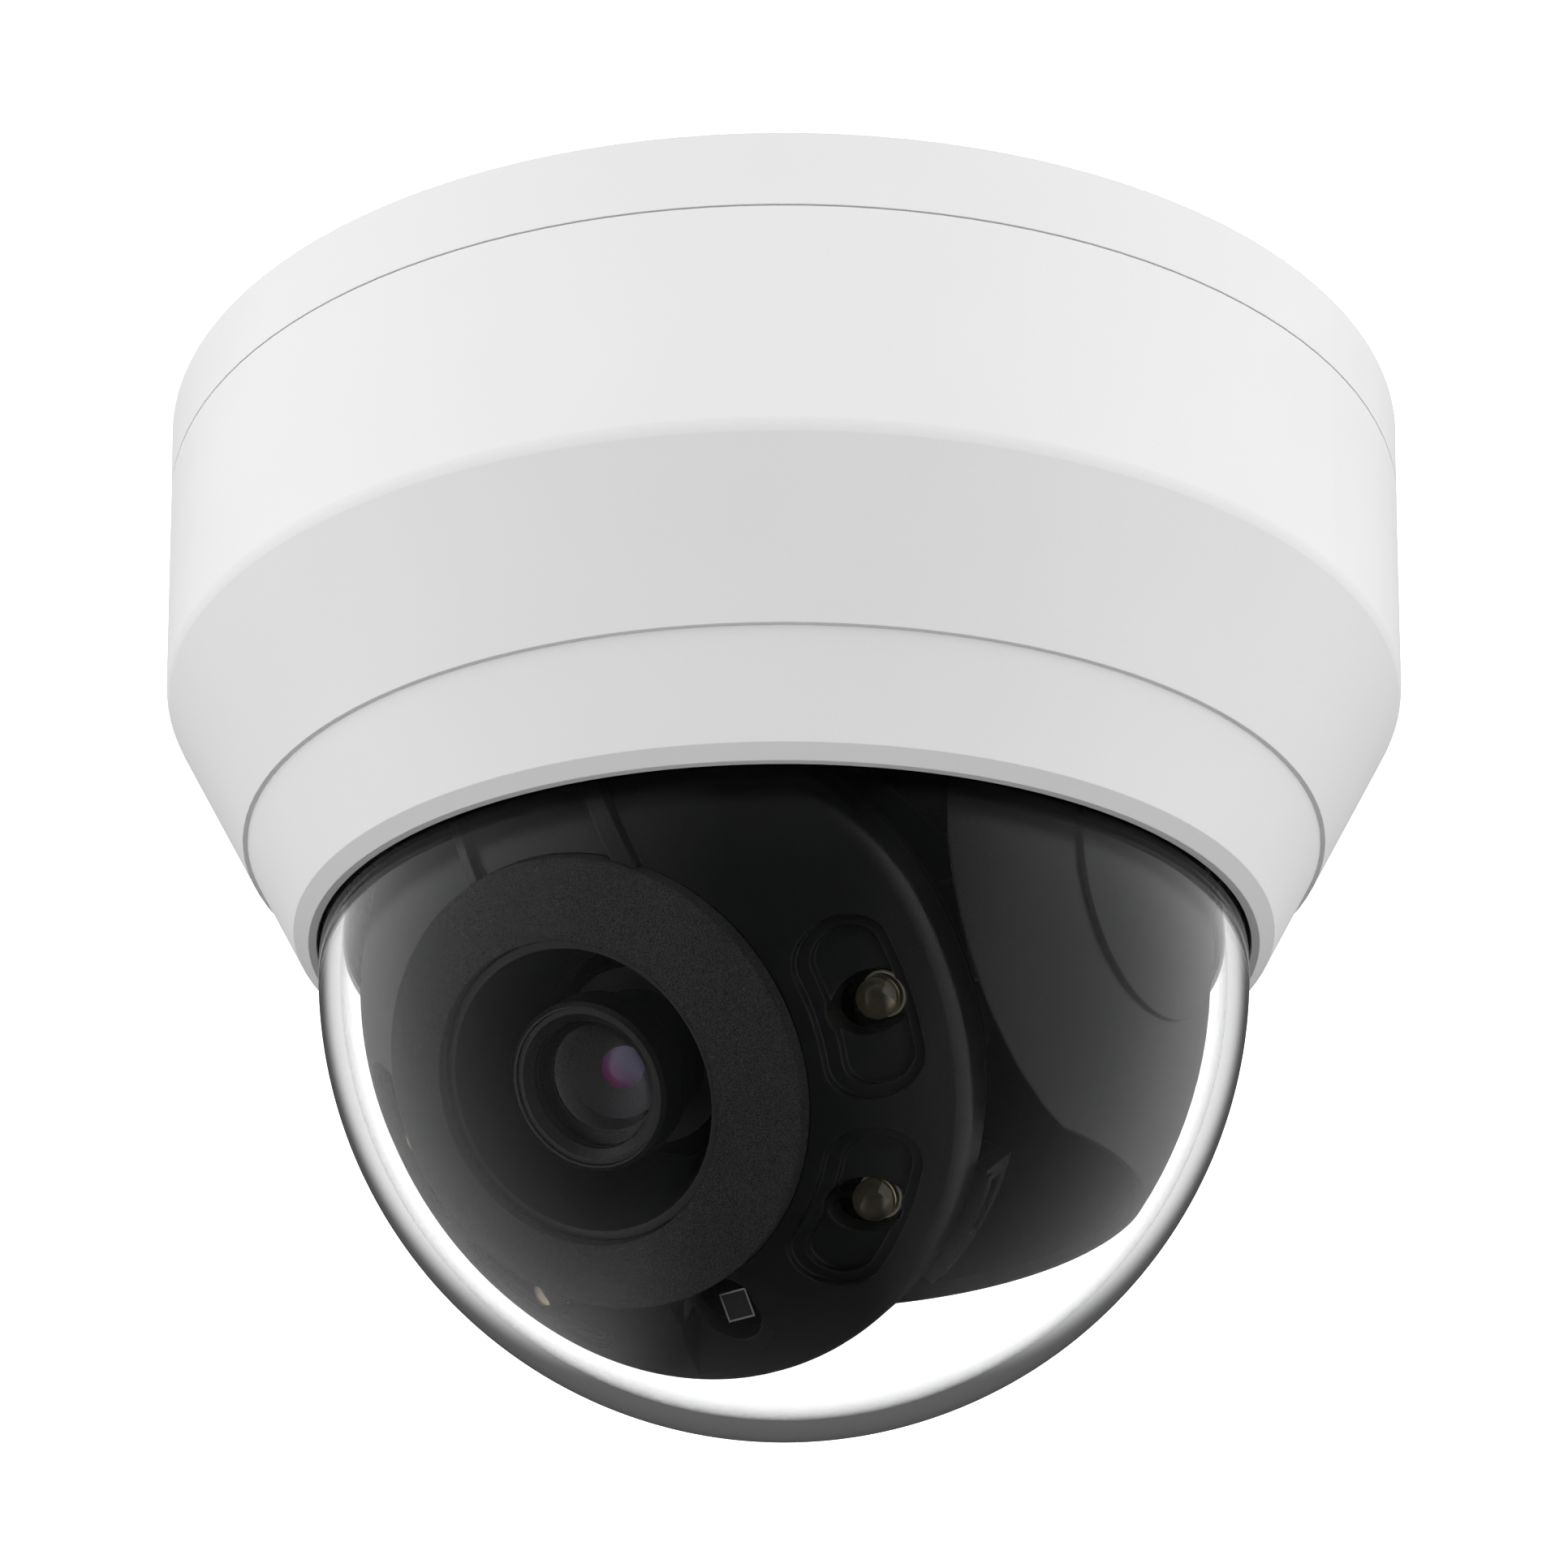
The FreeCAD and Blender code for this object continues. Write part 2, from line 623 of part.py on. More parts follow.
def dome_gasket():
    """A soft ring under the flange whose thin lip fills the gap round the bubble."""
    inside = dome_radius + 0.05
    lip_outside = trim_bore - 0.03
    lip_low = -trim_depth + 0.6
    ring_outside = ledge_radius - ledge_play
    body = turned([(inside, lip_low), (lip_outside, lip_low), (lip_outside, -ledge_depth),
                   (ring_outside, -ledge_depth), (ring_outside, -ledge_depth + gasket_height),
                   (inside, -ledge_depth + gasket_height)])
    keep(body, "dome_gasket")


def dome_bubble():
    inner = dome_radius - dome_wall
    body = turned([(0, -dome_radius), (dome_radius, 0), (dome_radius, flange_low),
                   (flange_radius, flange_low), (flange_radius, flange_high), (inner, flange_high),
                   (inner, 0), (0, -inner)], {0: dome_radius, 6: inner})
    keep(body, "dome_bubble", DOME_PLACE)


def dome_retainer():
    low = -dome_drop + flange_high
    bore = dome_radius - dome_wall + 0.15
    outside = ledge_radius - ledge_play
    body = turned([(bore, low), (outside, low), (outside, -cone_depth), (bore, -cone_depth)])
    keep(body, "dome_retainer")


# ---- pan unit -------------------------------------------------------------------------------------
yoke_circle = dim("yoke_circle", 26.0, "circle of the yoke screws")
yoke_screw_places = [polar(yoke_circle, angle) for angle in (45, 135, 225, 315)]
retainer_circle = dim("retainer_circle", 8.0, "circle of the pan retainer's screws")
retainer_screw_places = [polar(retainer_circle, angle) for angle in (90, 210, 330)]
retainer_height = dim("retainer_height", 1.5, "thickness of the pan retainer")
retainer_shank = dim("retainer_shank", 0.8, "radius of the retainer screws")
retainer_screw_length = dim("retainer_screw_length", 6.5, "length of the retainer screws")
table_low = -table_top - table
yoke_plate = dim("yoke_plate", 2.0, "thickness of the yoke's plate")
yoke_bore = dim("yoke_bore", 20.0, "bore of the yoke's plate")
yoke_shank = dim("yoke_shank", 1.0, "radius of the yoke screws")
yoke_low = dome_drop + table_low - yoke_plate
far = 100


def pan_bearing():
    inner = stub_radius + running
    collar = hub_radius - 0.2
    body = turned([(inner, -stub_top - gap), (hub_bore, -stub_top - gap), (hub_bore, -hub_depth),
                   (collar, -hub_depth), (collar, -table_top + gap), (inner, -table_top + gap)])
    keep(body, "pan_bearing")


def pan_table():
    body = turned([(wire_bore, -stub_top), (stub_radius, -stub_top), (stub_radius, -table_top),
                   (table_radius, -table_top), (table_radius, table_low), (wire_bore, table_low)])
    ways = [(x, y, yoke_shank + 0.3) for x, y in yoke_screw_places]
    discs(body, -table_top + 1, ways, "Pocket", table + 2)
    pilots = [(x, y, retainer_shank) for x, y in retainer_screw_places]
    discs(body, -stub_top + 1, pilots, "Pocket", retainer_screw_length)
    keep(body, "pan_table")


def pan_retainer():
    top = -stub_top + retainer_height
    outside = hub_bore - gap
    body = turned([(wire_bore, -stub_top), (outside, -stub_top), (outside, top), (wire_bore, top)])
    holes = [(x, y, retainer_shank + 0.1) for x, y in retainer_screw_places]
    discs(body, top + 1, holes, "Pocket", retainer_height + 2)
    keep(body, "pan_retainer")


def retainer_screws():
    head_radius, head_length = 1.7, 1.2
    seat = -stub_top + retainer_height
    keep(screws(retainer_screw_places, seat, head_radius, head_length, retainer_shank, retainer_screw_length,
                up=False), "retainer_screws")


def yoke_frame():
    """A plate under the pan table and two curved straps that hold the tilt trunnions."""
    strap_outer = shroud_radius - shroud_wall - 0.2
    strap_inner = strap_outer - strap_wall
    shell = cut(ball(strap_outer), ball(strap_inner))
    high = yoke_low + yoke_plate
    ring_outer = side(strap_outer, high)
    uprights = block(far, strap_half * 2, high, 0, 0, 0)
    ends = cylinder(strap_half, far, 0, -far / 2, 0, ALONG_X)
    straps = common(shell, fuse(uprights, ends))
    ring = turned([(yoke_bore, yoke_low), (ring_outer, yoke_low), (ring_outer, high), (yoke_bore, high)])
    bosses = []
    yoke_boss_radius = 6.5
    boss_length = strap_inner + 0.6 - boss_face
    for start in (boss_face, -boss_face - boss_length):
        bosses.append(cylinder(yoke_boss_radius, boss_length, 0, start, 0, ALONG_X))
    whole = fuse(straps, ring, *bosses)
    pivots = cylinder(trunnion + running, far, 0, -far / 2, 0, ALONG_X)
    pilots = [cylinder(yoke_shank, yoke_plate + 2, yoke_low - 1, x, y) for x, y in yoke_screw_places]
    side_pilot = cylinder(side_shank, far, side_screw_height, -far / 2, 0, ALONG_X)
    keep(cut(whole, pivots, side_pilot, *pilots), "yoke_frame", DOME_PLACE)


def yoke_screws():
    head_radius, head_length = 2.0, 1.2
    length = table + yoke_plate
    keep(screws(yoke_screw_places, -table_top, head_radius, head_length, yoke_shank, length, up=False),
         "yoke_screws")


side_screw_height = dim("side_screw_height", 14.0, "shroud screws above the centre")
side_seat = dim("side_seat", 36.3, "seat of the shroud screws from the centre")
side_head = dim("side_head", 1.8, "head radius of the shroud screws")
side_shank = dim("side_shank", 0.9, "shank radius of the shroud screws")


def shroud():
    """A thin ball, cut flat below and above and open in front for the lens unit. The slot runs on round
    the inside of the lower rim, so that its corners are smooth."""
    shell = cut(ball(shroud_radius), ball(shroud_radius - shroud_wall))
    band = cylinder(far, shroud_low + shroud_high, -shroud_low)
    slot = fuse(block(slot_half * 2, far, far, 0, -far / 2, -far / 2), cylinder(slot_half, far, -far))
    seat_length = 10
    seats = [cylinder(side_head + 0.2, seat_length, side_screw_height, side_seat, 0, ALONG_X),
             cylinder(side_head + 0.2, seat_length, side_screw_height, -side_seat - seat_length, 0, ALONG_X)]
    side_holes = cylinder(side_shank + 0.1, far, side_screw_height, -far / 2, 0, ALONG_X)
    keep(cut(common(shell, band), slot, *seats, side_holes), "shroud", DOME_PLACE)


def shroud_screws():
    made = []
    shank, head_length = 3.4, 1.1
    for head_start, shank_start in ((side_seat, side_seat - shank), (-side_seat - head_length, -side_seat)):
        head = cylinder(side_head, head_length, side_screw_height, head_start, 0, ALONG_X)
        made.append(fuse(head, cylinder(side_shank, shank, side_screw_height, shank_start, 0, ALONG_X)))
    keep(group(*made), "shroud_screws", DOME_PLACE)


def pivot_caps():
    """Two thin discs that close the shroud over the trunnions."""
    cap_thickness, reach = 0.5, 30
    for name, start in (("pivot_cap_right", reach), ("pivot_cap_left", -2 * reach)):
        shell = cut(ball(shroud_radius + cap_thickness), ball(shroud_radius))
        keep(common(shell, cylinder(boss_radius, reach, 0, start, 0, ALONG_X)), name, DOME_PLACE)


# ---- tilt cradle ----------------------------------------------------------------------------------
washer = dim("washer", 0.8, "friction washer thickness")


def tilt_cradle():
    reach = boss_face - washer
    tip = dim("trunnion_tip", 37.4, "end of a trunnion from the centre")
    inner = cradle_radius - 1
    parts = [cut(cylinder(cradle_radius, cradle_half * 2, -cradle_half),
                 cylinder(cradle_bore, cradle_half * 2 + 2, -cradle_half - 1))]
    for shoulder_start, pin_start in ((inner, inner), (-reach, -tip)):
        parts.append(cylinder(cradle_half - 0.2, reach - inner, 0, shoulder_start, 0, ALONG_X))
        parts.append(cylinder(trunnion, tip - inner, 0, pin_start, 0, ALONG_X))
    keep(fuse(*parts), "tilt_cradle", TILT_PLACE)


def tilt_washers():
    washer_radius = 6.0
    for name, start in (("tilt_washer_right", boss_face - washer), ("tilt_washer_left", -boss_face)):
        disc = cylinder(washer_radius, washer - 0.02, 0, start, 0, ALONG_X)
        hole = cylinder(trunnion, washer + 2, 0, as_size(start) - 1, 0, ALONG_X)
        keep(cut(disc, hole), name, TILT_PLACE)


# ---- lens unit ------------------------------------------------------------------------------------
WINDOW_ANGLES = (-2.5, -45.5, 182.5, 225.5)
sensor_place = (0.95, -22.95)
sensor_width = dim("sensor_width", 2.6, "light sensor width")
sensor_height = dim("sensor_height", 3.5, "light sensor height over its board")
well_low = dim("well_low", 28.4, "lower end of the light sensor's flared well")
well_high = dim("well_high", 31.4, "upper end of the light sensor's flared well")
well_radius = dim("well_radius", 2.6, "radius of the light sensor's well")
well_mouth = dim("well_mouth", 3.7, "radius of the well's flared mouth")
FACET_APEX = Vector(9.49, -3.39, 0)
FACET_TURN = 157.2
facet_near = dim("facet_near", 12.0, "near end of the light sensor's facet from its apex")
facet_far = dim("facet_far", 30.0, "far end of the facet from its apex")
facet_near_floor = dim("facet_near_floor", 34.0, "facet floor along the lens axis at its near end")
facet_far_floor = dim("facet_far_floor", 26.5, "facet floor along the lens axis at its far end")
facet_spread = dim("facet_spread", 0.17, "half width of the facet per length")
boss_circle = dim("boss_circle", 23.5, "circle of the LED board's screws")
boss_places = [polar(boss_circle, angle) for angle in (45, 135)]
led_screw_shank = dim("led_screw_shank", 0.9, "radius of the LED board's screws")
shield_hole = shield_outer + 0.05


def kidney(half_width, start, length, angle):
    """A slot bent round the lens axis: a stretch of ring with two round ends."""
    span = window_span.number
    outside = cylinder(window_place + half_width, length, start)
    ring = cut(outside, cylinder(window_place - half_width, length, start))
    wedge = doc.addObject("Part::Cylinder", "wedge")
    bind(wedge, "Radius", window_place * 2)
    bind(wedge, "Height", length)
    bind(wedge, "Angle", window_span * 2)
    wedge.Placement = FreeCAD.Placement(Vector(0, 0, value(start)), FreeCAD.Rotation(Z_AXIS, angle - span))
    ends = []
    for turn in (angle - span, angle + span):
        x, y = polar(window_place, turn)
        ends.append(cylinder(half_width, length, start, x, y))
    return fuse(common(ring, wedge), *ends)


def window_cut(angle):
    """A recess with a flat-sided border: wide at the surface, narrower down to the floor."""
    border = 1.0
    start, length = 20, 30
    wide = cut(kidney(window_half, start, length, angle), ball((cap_radius + window_floor) / 2))
    narrow = cut(kidney(window_half - border, start, length, angle), ball(window_floor))
    x, y = polar(window_place, angle)
    return fuse(wide, narrow, cylinder(led_hole, length, start, x, y))


def cap_rib(x, y, length, width, angle):
    """A low rib that follows the cap's surface."""
    rib_height = 0.9
    shell = cut(ball(cap_radius + rib_height), ball(cap_radius - 2), cylinder(shield_hole, far, 0))
    return common(shell, block(length, width, cap_radius, x, y, 20, angle))


def facet_cut():
    """A wedge-shaped facet with a sloping floor; it widens from its apex towards the cap's rim."""
    wedge = doc.addObject("Part::Wedge", "facet")
    near_half = facet_near * facet_spread
    far_half = facet_far * facet_spread
    top = cap_radius + 5
    ends = {"Xmin": -near_half, "Xmax": near_half, "X2min": -far_half, "X2max": far_half, "Ymin": facet_near,
            "Ymax": facet_far, "Zmin": facet_near_floor, "Z2min": facet_far_floor, "Zmax": top, "Z2max": top}
    for name, size in ends.items():
        setattr(wedge, name, value(size))
        bind(wedge, name, size)
    wedge.Placement = FreeCAD.Placement(FACET_APEX, FreeCAD.Rotation(Z_AXIS, FACET_TURN))
    return wedge


def sensor_well():
    """A round well with a flared mouth for the light sensor."""
    x, y = sensor_place
    mouth = doc.addObject("Part::Cone", "mouth")
    bind(mouth, "Radius1", well_radius)
    bind(mouth, "Radius2", well_mouth)
    bind(mouth, "Height", well_high - well_low)
    move(mouth, x, y, well_low)
    below, above = 7, 6
    lower = cylinder(well_radius, below + 1, well_low - below, x, y)
    return fuse(mouth, lower, cylinder(well_mouth, above, well_high - 0.01, x, y))


def front_cap():
    inner = cap_radius - cap_wall
    side_inner = cap_rim - 1.8
    hole = shield_hole
    body = turned([(hole, side(cap_radius, hole)), (cap_rim, side(cap_radius, cap_rim)), (cap_rim, cap_back),
                   (side_inner, cap_back), (side_inner, side(inner, side_inner)), (hole, side(inner, hole))],
                  {0: cap_radius, 4: inner})
    round_circle(body, cap_rim, side(cap_radius, cap_rim), cap_round)
    bosses = [common(cylinder(2.2, 10, led_face, x, y), ball(cap_radius - 1)) for x, y in boss_places]
    narrow_rib = cap_rib(-5.4, 21.7, 7.0, 0.9, -67)
    wide_rib = cap_rib(9.2, 19.9, 8.6, 1.5, -69)
    whole = fuse(body, *bosses, narrow_rib, wide_rib)
    windows = [window_cut(angle) for angle in WINDOW_ANGLES]
    pilots = [cylinder(led_screw_shank, 2.0, led_face - 0.5, x, y) for x, y in boss_places]
    keep(cut(whole, *windows, facet_cut(), sensor_well(), *pilots), "front_cap", HEAD_PLACE)


def rear_shell():
    wire_hole = 3.5
    mouth = cap_rim - 0.9
    mouth_inner = mouth - 1.7
    neck_inner = neck_radius - shell_wall
    shoulder = cradle_half + gap
    floor = -shell_back + shell_wall
    body = turned([(wire_hole, -shell_back), (neck_radius, -shell_back), (neck_radius, shoulder),
                   (neck_radius + 1.5, shoulder), (mouth, cap_back - 2.3), (mouth, cap_back),
                   (mouth_inner, cap_back), (mouth_inner, cap_back - 1.5),
                   (neck_radius - 0.1, shoulder + 1.7), (neck_inner, shoulder + 0.2),
                   (neck_inner, floor), (wire_hole, floor)])
    keep(body, "rear_shell", HEAD_PLACE)


def ring_nut():
    low = -shell_back
    high = -cradle_half - gap
    outside = cradle_radius - 0.7
    body = turned([(neck_radius, low), (outside, low), (outside, high), (neck_radius, high)])
    keep(body, "ring_nut", HEAD_PLACE)


latch_radius = dim("latch_radius", 31.1, "outside of the cap latch from the lens axis")
latch_wall = dim("latch_wall", 1.3, "latch wall")
latch_back = dim("latch_back", 16.2, "back of the latch along the lens axis")
latch_front = dim("latch_front", 21.4, "front of the latch along the lens axis")


def sector(outer, inner, low, high, start, span):
    """A stretch of ring about the lens axis; start and span are in degrees."""
    wedge = doc.addObject("Part::Cylinder", "wedge")
    wedge.Placement = FreeCAD.Placement(Vector(0, 0, value(low)), FreeCAD.Rotation(Z_AXIS, start))
    bind(wedge, "Radius", outer)
    bind(wedge, "Height", as_size(high) - low)
    bind(wedge, "Angle", span)
    return cut(wedge, cylinder(inner, as_size(high) - low + 2, as_size(low) - 1))


def cap_latch():
    """A bent clip behind the cap's rim that the cap snaps onto: a slotted wall, a thicker front edge, a
    step at one end and a foot on the rear shell."""
    inner = latch_radius - latch_wall
    wall = sector(latch_radius, inner, latch_back, latch_front, -54, 17)
    slot = sector(latch_radius + 1, inner - 1, latch_back + 1.3, latch_front - 1.7, -51, 11)
    edge = sector(latch_radius + 0.3, inner, latch_front - 1.0, latch_front, -54, 16)
    step = sector(latch_radius, inner, latch_back, latch_front - 2.0, -62, 8.5)
    foot = sector(inner + 0.3, cap_rim - 2.4, latch_back, latch_back + 1.2, -62, 25)
    keep(fuse(cut(wall, slot), edge, step, foot), "cap_latch", HEAD_PLACE)


def light_shield():
    body = turned([(shield_inner, shield_back), (shield_outer, shield_back),
                   (shield_outer, side(shield_sphere, shield_outer)),
                   (shield_inner, side(shield_sphere, shield_inner))], {2: shield_sphere})
    keep(body, "light_shield", HEAD_PLACE)


def lens_hood():
    mouth = shield_inner - 0.1
    throat = dim("hood_throat", 9.8, "radius of the hood's throat")
    hood_back = dim("hood_back", 24.5, "back of the lens hood")
    hood_front = dim("hood_front", 37.6, "front lip of the lens hood")
    flange_back = shield_back - 1.4
    flange_outside = shield_outer - 0.1
    body = turned([(throat, hood_back), (throat + 1.1, hood_back), (throat + 1.4, flange_back),
                   (flange_outside, flange_back), (flange_outside, shield_back), (mouth, shield_back),
                   (mouth, hood_front), (mouth - 0.8, hood_front), (throat, hood_back + 3)])
    keep(body, "lens_hood", HEAD_PLACE)


ring_seat = barrel_front - 1.4
ring_recess = dim("ring_recess", 6.9, "radius of the recess for the lens front ring")
barrel_back = dim("barrel_back", 20.5, "back of the lens barrel")
barrel_bore = dim("barrel_bore", 4.4, "bore of the lens barrel")
head_back = dim("head_back", 33.0, "back of the lens barrel's wide head")


def lens_barrel():
    bevel = 0.35
    glass_seat = head_back - 0.4
    body = turned([(barrel_bore, barrel_back), (thread_radius, barrel_back), (thread_radius, head_back),
                   (barrel_radius, head_back), (barrel_radius, barrel_front - bevel),
                   (barrel_radius - bevel, barrel_front), (ring_recess, barrel_front),
                   (ring_recess, ring_seat), (glass_radius, ring_seat), (glass_radius, glass_seat),
                   (barrel_bore, glass_seat)])
    keep(body, "lens_barrel", HEAD_PLACE)


def lens_front_ring():
    inside = glass_radius + 0.05
    outside = ring_recess - 0.05
    top = barrel_front - 0.25
    body = turned([(inside, ring_seat), (outside, ring_seat), (outside, top), (outside - 0.45, top),
                   (inside, top - 0.55)])
    keep(body, "lens_front_ring", HEAD_PLACE)


def lens_elements():
    """Three glass elements, each a cylinder ended by the front of a ball."""
    inner_radius = barrel_bore - 0.05
    for name, radius, back, crown, apex in (("front_lens", glass_radius - 0.02, head_back, 11.0, 36.4),
                                            ("middle_lens", inner_radius, 27.4, 7.0, 31.2),
                                            ("rear_lens", inner_radius, 22.0, 9.0, 25.2)):
        disc = cylinder(radius, 6, back)
        keep(common(disc, ball(crown, apex - crown)), name, HEAD_PLACE)


def iris_ring():
    opening, back, front = 1.7, 26.2, 26.9
    outside = barrel_bore - 0.02
    body = turned([(opening, back), (outside, back), (outside, front), (opening, front)])
    keep(body, "iris_ring", HEAD_PLACE)


holder_foot = dim("holder_foot", 13.0, "foot of the lens holder")
sensor_board_back = dim("sensor_board_back", 4.0, "back of the sensor board")


def lens_holder():
    foot = holder_foot
    foot_top = holder_foot + 2
    bore, foot_radius, tube_radius, tube_top = 4.6, 9.5, 8.0, 27.0
    body = turned([(bore, foot), (foot_radius, foot), (foot_radius, foot_top), (tube_radius, foot_top),
                   (tube_radius, tube_top), (thread_radius, tube_top), (thread_radius, foot_top),
                   (bore, foot_top)])
    keep(body, "lens_holder", HEAD_PLACE)


def filter_housing():
    """A box over the image sensor; the infrared filter slides across inside it."""
    low = sensor_board_back + board
    width, depth, wall = 24.5, 13.4, 1.25
    shell = block(width, depth, holder_foot - low, 0, 0, low)
    room = block(width - 2 * wall, depth - 2.8, holder_foot - low - 1.0, 0, 0, low)
    window = cylinder(4.6, 3, holder_foot - 2)
    keep(cut(shell, room, window), "filter_housing", HEAD_PLACE)


def filter_slide():
    """The sliding frame at rest, with one opening over the lens axis and one beside it."""
    start = -filter_travel / 2
    pane_width, pane_depth, pane_thickness = 5.4, 7.4, 0.6
    frame_low, frame_thickness = 9.4, 1.2
    pane_low = frame_low + (frame_thickness - pane_thickness) / 2
    frame = block(15.0, 9.0, frame_thickness, start, 0, frame_low)
    openings = []
    for shift in (-0.5, 0.5):
        openings.append(block(pane_width, pane_depth, 4, start + filter_travel * shift, 0, frame_low - 1.4))
    keep(cut(frame, *openings), "filter_slide", HEAD_PLACE)
    for name, shift in (("day_filter", 0.5), ("night_glass", -0.5)):
        pane = block(pane_width, pane_depth, pane_thickness, start + filter_travel * shift, 0, pane_low)
        keep(group(pane), name, HEAD_PLACE)


def sensor_board():
    low = sensor_board_back
    bore, outside = 2.0, 15.0
    body = turned([(bore, low), (outside, low), (outside, low + board), (bore, low + board)])
    keep(body, "sensor_board", HEAD_PLACE)


def image_sensor():
    width, depth, height = 8.6, 7.4, 1.7
    keep(group(block(width, depth, height, 0, 0, sensor_board_back + board)), "image_sensor", HEAD_PLACE)


def led_board():
    back = led_face - board
    bore, outside = 20.4, 26.2
    body = turned([(bore, back), (outside, back), (outside, led_face), (bore, led_face)])
    holes = [(x, y, led_screw_shank + 0.1) for x, y in boss_places]
    discs(body, led_face + 1, holes, "Pocket", board + 2)
    keep(body, "led_board", HEAD_PLACE)


def led_board_screws():
    head_radius, head_length = 1.7, 1.2
    keep(screws(boss_places, led_face - board, head_radius, head_length, led_screw_shank, board + 1.5),
         "led_board_screws", HEAD_PLACE)


def infrared_leds():
    """Four LED packages on the board, each with a clear dome of its own on a short stem."""
    stem_length, package_side, package_height = 1.6, 3.2, 1.2
    packages = []
    domes = []
    for angle in WINDOW_ANGLES:
        x, y = polar(window_place, angle)
        packages.append(block(package_side, package_side, package_height, x, y, led_face, angle))
        crown = doc.addObject("Part::Sphere", "crown")
        bind(crown, "Radius", led_lens)
        shoulder = led_face + package_height + stem_length
        move(crown, x, y, shoulder)
        stem = cylinder(led_lens, stem_length, led_face + package_height, x, y)
        upper = common(crown, cylinder(led_lens, led_lens + 0.2, shoulder, x, y))
        domes.append(fuse(stem, upper))
    keep(group(*packages), "led_packages", HEAD_PLACE)
    keep(group(*domes), "led_domes", HEAD_PLACE)


def light_sensor():
    x, y = sensor_place
    body = block(sensor_width, sensor_width - 0.2, sensor_height, x, y, led_face, 2)
    keep(group(body), "light_sensor", HEAD_PLACE)


mounting_base()
cable_grommet()
cover_clips()
main_board()
board_screws()
network_jack()
jack_contacts()
power_terminal()
terminal_screws()
card_slot()
processor()
heat_sink()
capacitors()
reset_switch()
reset_plunger()
top_cover()
trim_ring()
cover_screws()
dome_gasket()
dome_bubble()
dome_retainer()
pan_bearing()
pan_table()
pan_retainer()
retainer_screws()
yoke_frame()
yoke_screws()
shroud()
shroud_screws()
pivot_caps()
tilt_cradle()
tilt_washers()
front_cap()
rear_shell()
ring_nut()
cap_latch()
light_shield()
lens_hood()
lens_barrel()
lens_front_ring()
lens_elements()
iris_ring()
lens_holder()
filter_housing()
filter_slide()
sensor_board()
image_sensor()
led_board()
led_board_screws()
infrared_leds()
light_sensor()


# ---- check and write ------------------------------------------------------------------------------
doc.recompute()
for thing in doc.Objects:
    if "Invalid" in thing.State or "Error" in thing.State:
        raise RuntimeError("%s (%s) failed: %s" % (thing.FullName, thing.Label, thing.State))
for thing in sub_parts:
    if thing.Shape.isNull() or not thing.Shape.isValid() or thing.Shape.Volume <= 0:
        raise RuntimeError("%s has no valid shape" % thing.Label)

os.makedirs("parts", exist_ok=True)
for thing in sub_parts:
    thing.Shape.exportStep("parts/%s.step" % thing.Label)
    box = thing.Shape.BoundBox
    print("%-20s %2d solid(s) %9.1f mm3  z %.2f to %.2f" % (
        thing.Label, len(thing.Shape.Solids), thing.Shape.Volume, box.ZMin, box.ZMax))
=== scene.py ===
"""Looks of the dome CCTV camera: smooth shells, fine detail, materials, light and camera, in metres, all
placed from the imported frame."""
import json
import math

import bmesh
import bpy
from mathutils import Matrix, Vector


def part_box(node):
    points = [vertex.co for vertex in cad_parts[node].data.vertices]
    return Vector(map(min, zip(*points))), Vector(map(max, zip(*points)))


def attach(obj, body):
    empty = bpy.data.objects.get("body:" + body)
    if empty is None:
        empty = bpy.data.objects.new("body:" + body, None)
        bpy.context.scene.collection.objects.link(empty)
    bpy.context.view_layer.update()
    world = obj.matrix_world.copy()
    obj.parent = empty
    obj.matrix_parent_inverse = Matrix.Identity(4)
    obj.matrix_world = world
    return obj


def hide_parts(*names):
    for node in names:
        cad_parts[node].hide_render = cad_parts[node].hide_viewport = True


MM = 0.001
TAU = 2 * math.pi

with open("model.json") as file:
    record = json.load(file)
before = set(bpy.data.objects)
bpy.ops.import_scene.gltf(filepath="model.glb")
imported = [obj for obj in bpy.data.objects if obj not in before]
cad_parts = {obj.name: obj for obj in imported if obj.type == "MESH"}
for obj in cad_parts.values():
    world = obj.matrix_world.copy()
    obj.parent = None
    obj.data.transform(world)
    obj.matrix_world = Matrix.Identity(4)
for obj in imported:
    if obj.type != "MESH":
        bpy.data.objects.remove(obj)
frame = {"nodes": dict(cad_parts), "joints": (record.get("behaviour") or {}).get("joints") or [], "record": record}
nodes = frame["nodes"]
joints = {joint["name"]: joint for joint in frame["joints"]}
slots = {part["node"]: part["material_slot"] for part in frame["record"]["subparts"]}
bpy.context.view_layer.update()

# ---- the frames that the pieces are built in -------------------------------------------------------
dome_centre = Vector(joints["tilt"]["pos_m"])
lens_axis = Vector(joints["rotate"]["axis"]).normalized()
head_right = Vector(joints["filter_shift"]["axis"]).normalized()
head_up = lens_axis.cross(head_right)


def frame_of(right, up, out, origin):
    matrix = Matrix((right, up, out)).transposed().to_4x4()
    matrix.translation = origin
    return matrix


DOME = Matrix.Translation(dome_centre)
HEAD = frame_of(head_right, head_up, lens_axis, dome_centre)


# ---- node materials -------------------------------------------------------------------------------
def add_node(tree, kind, **values):
    made = tree.nodes.new(kind)
    for key, content in values.items():
        setattr(made, key, content)
    return made


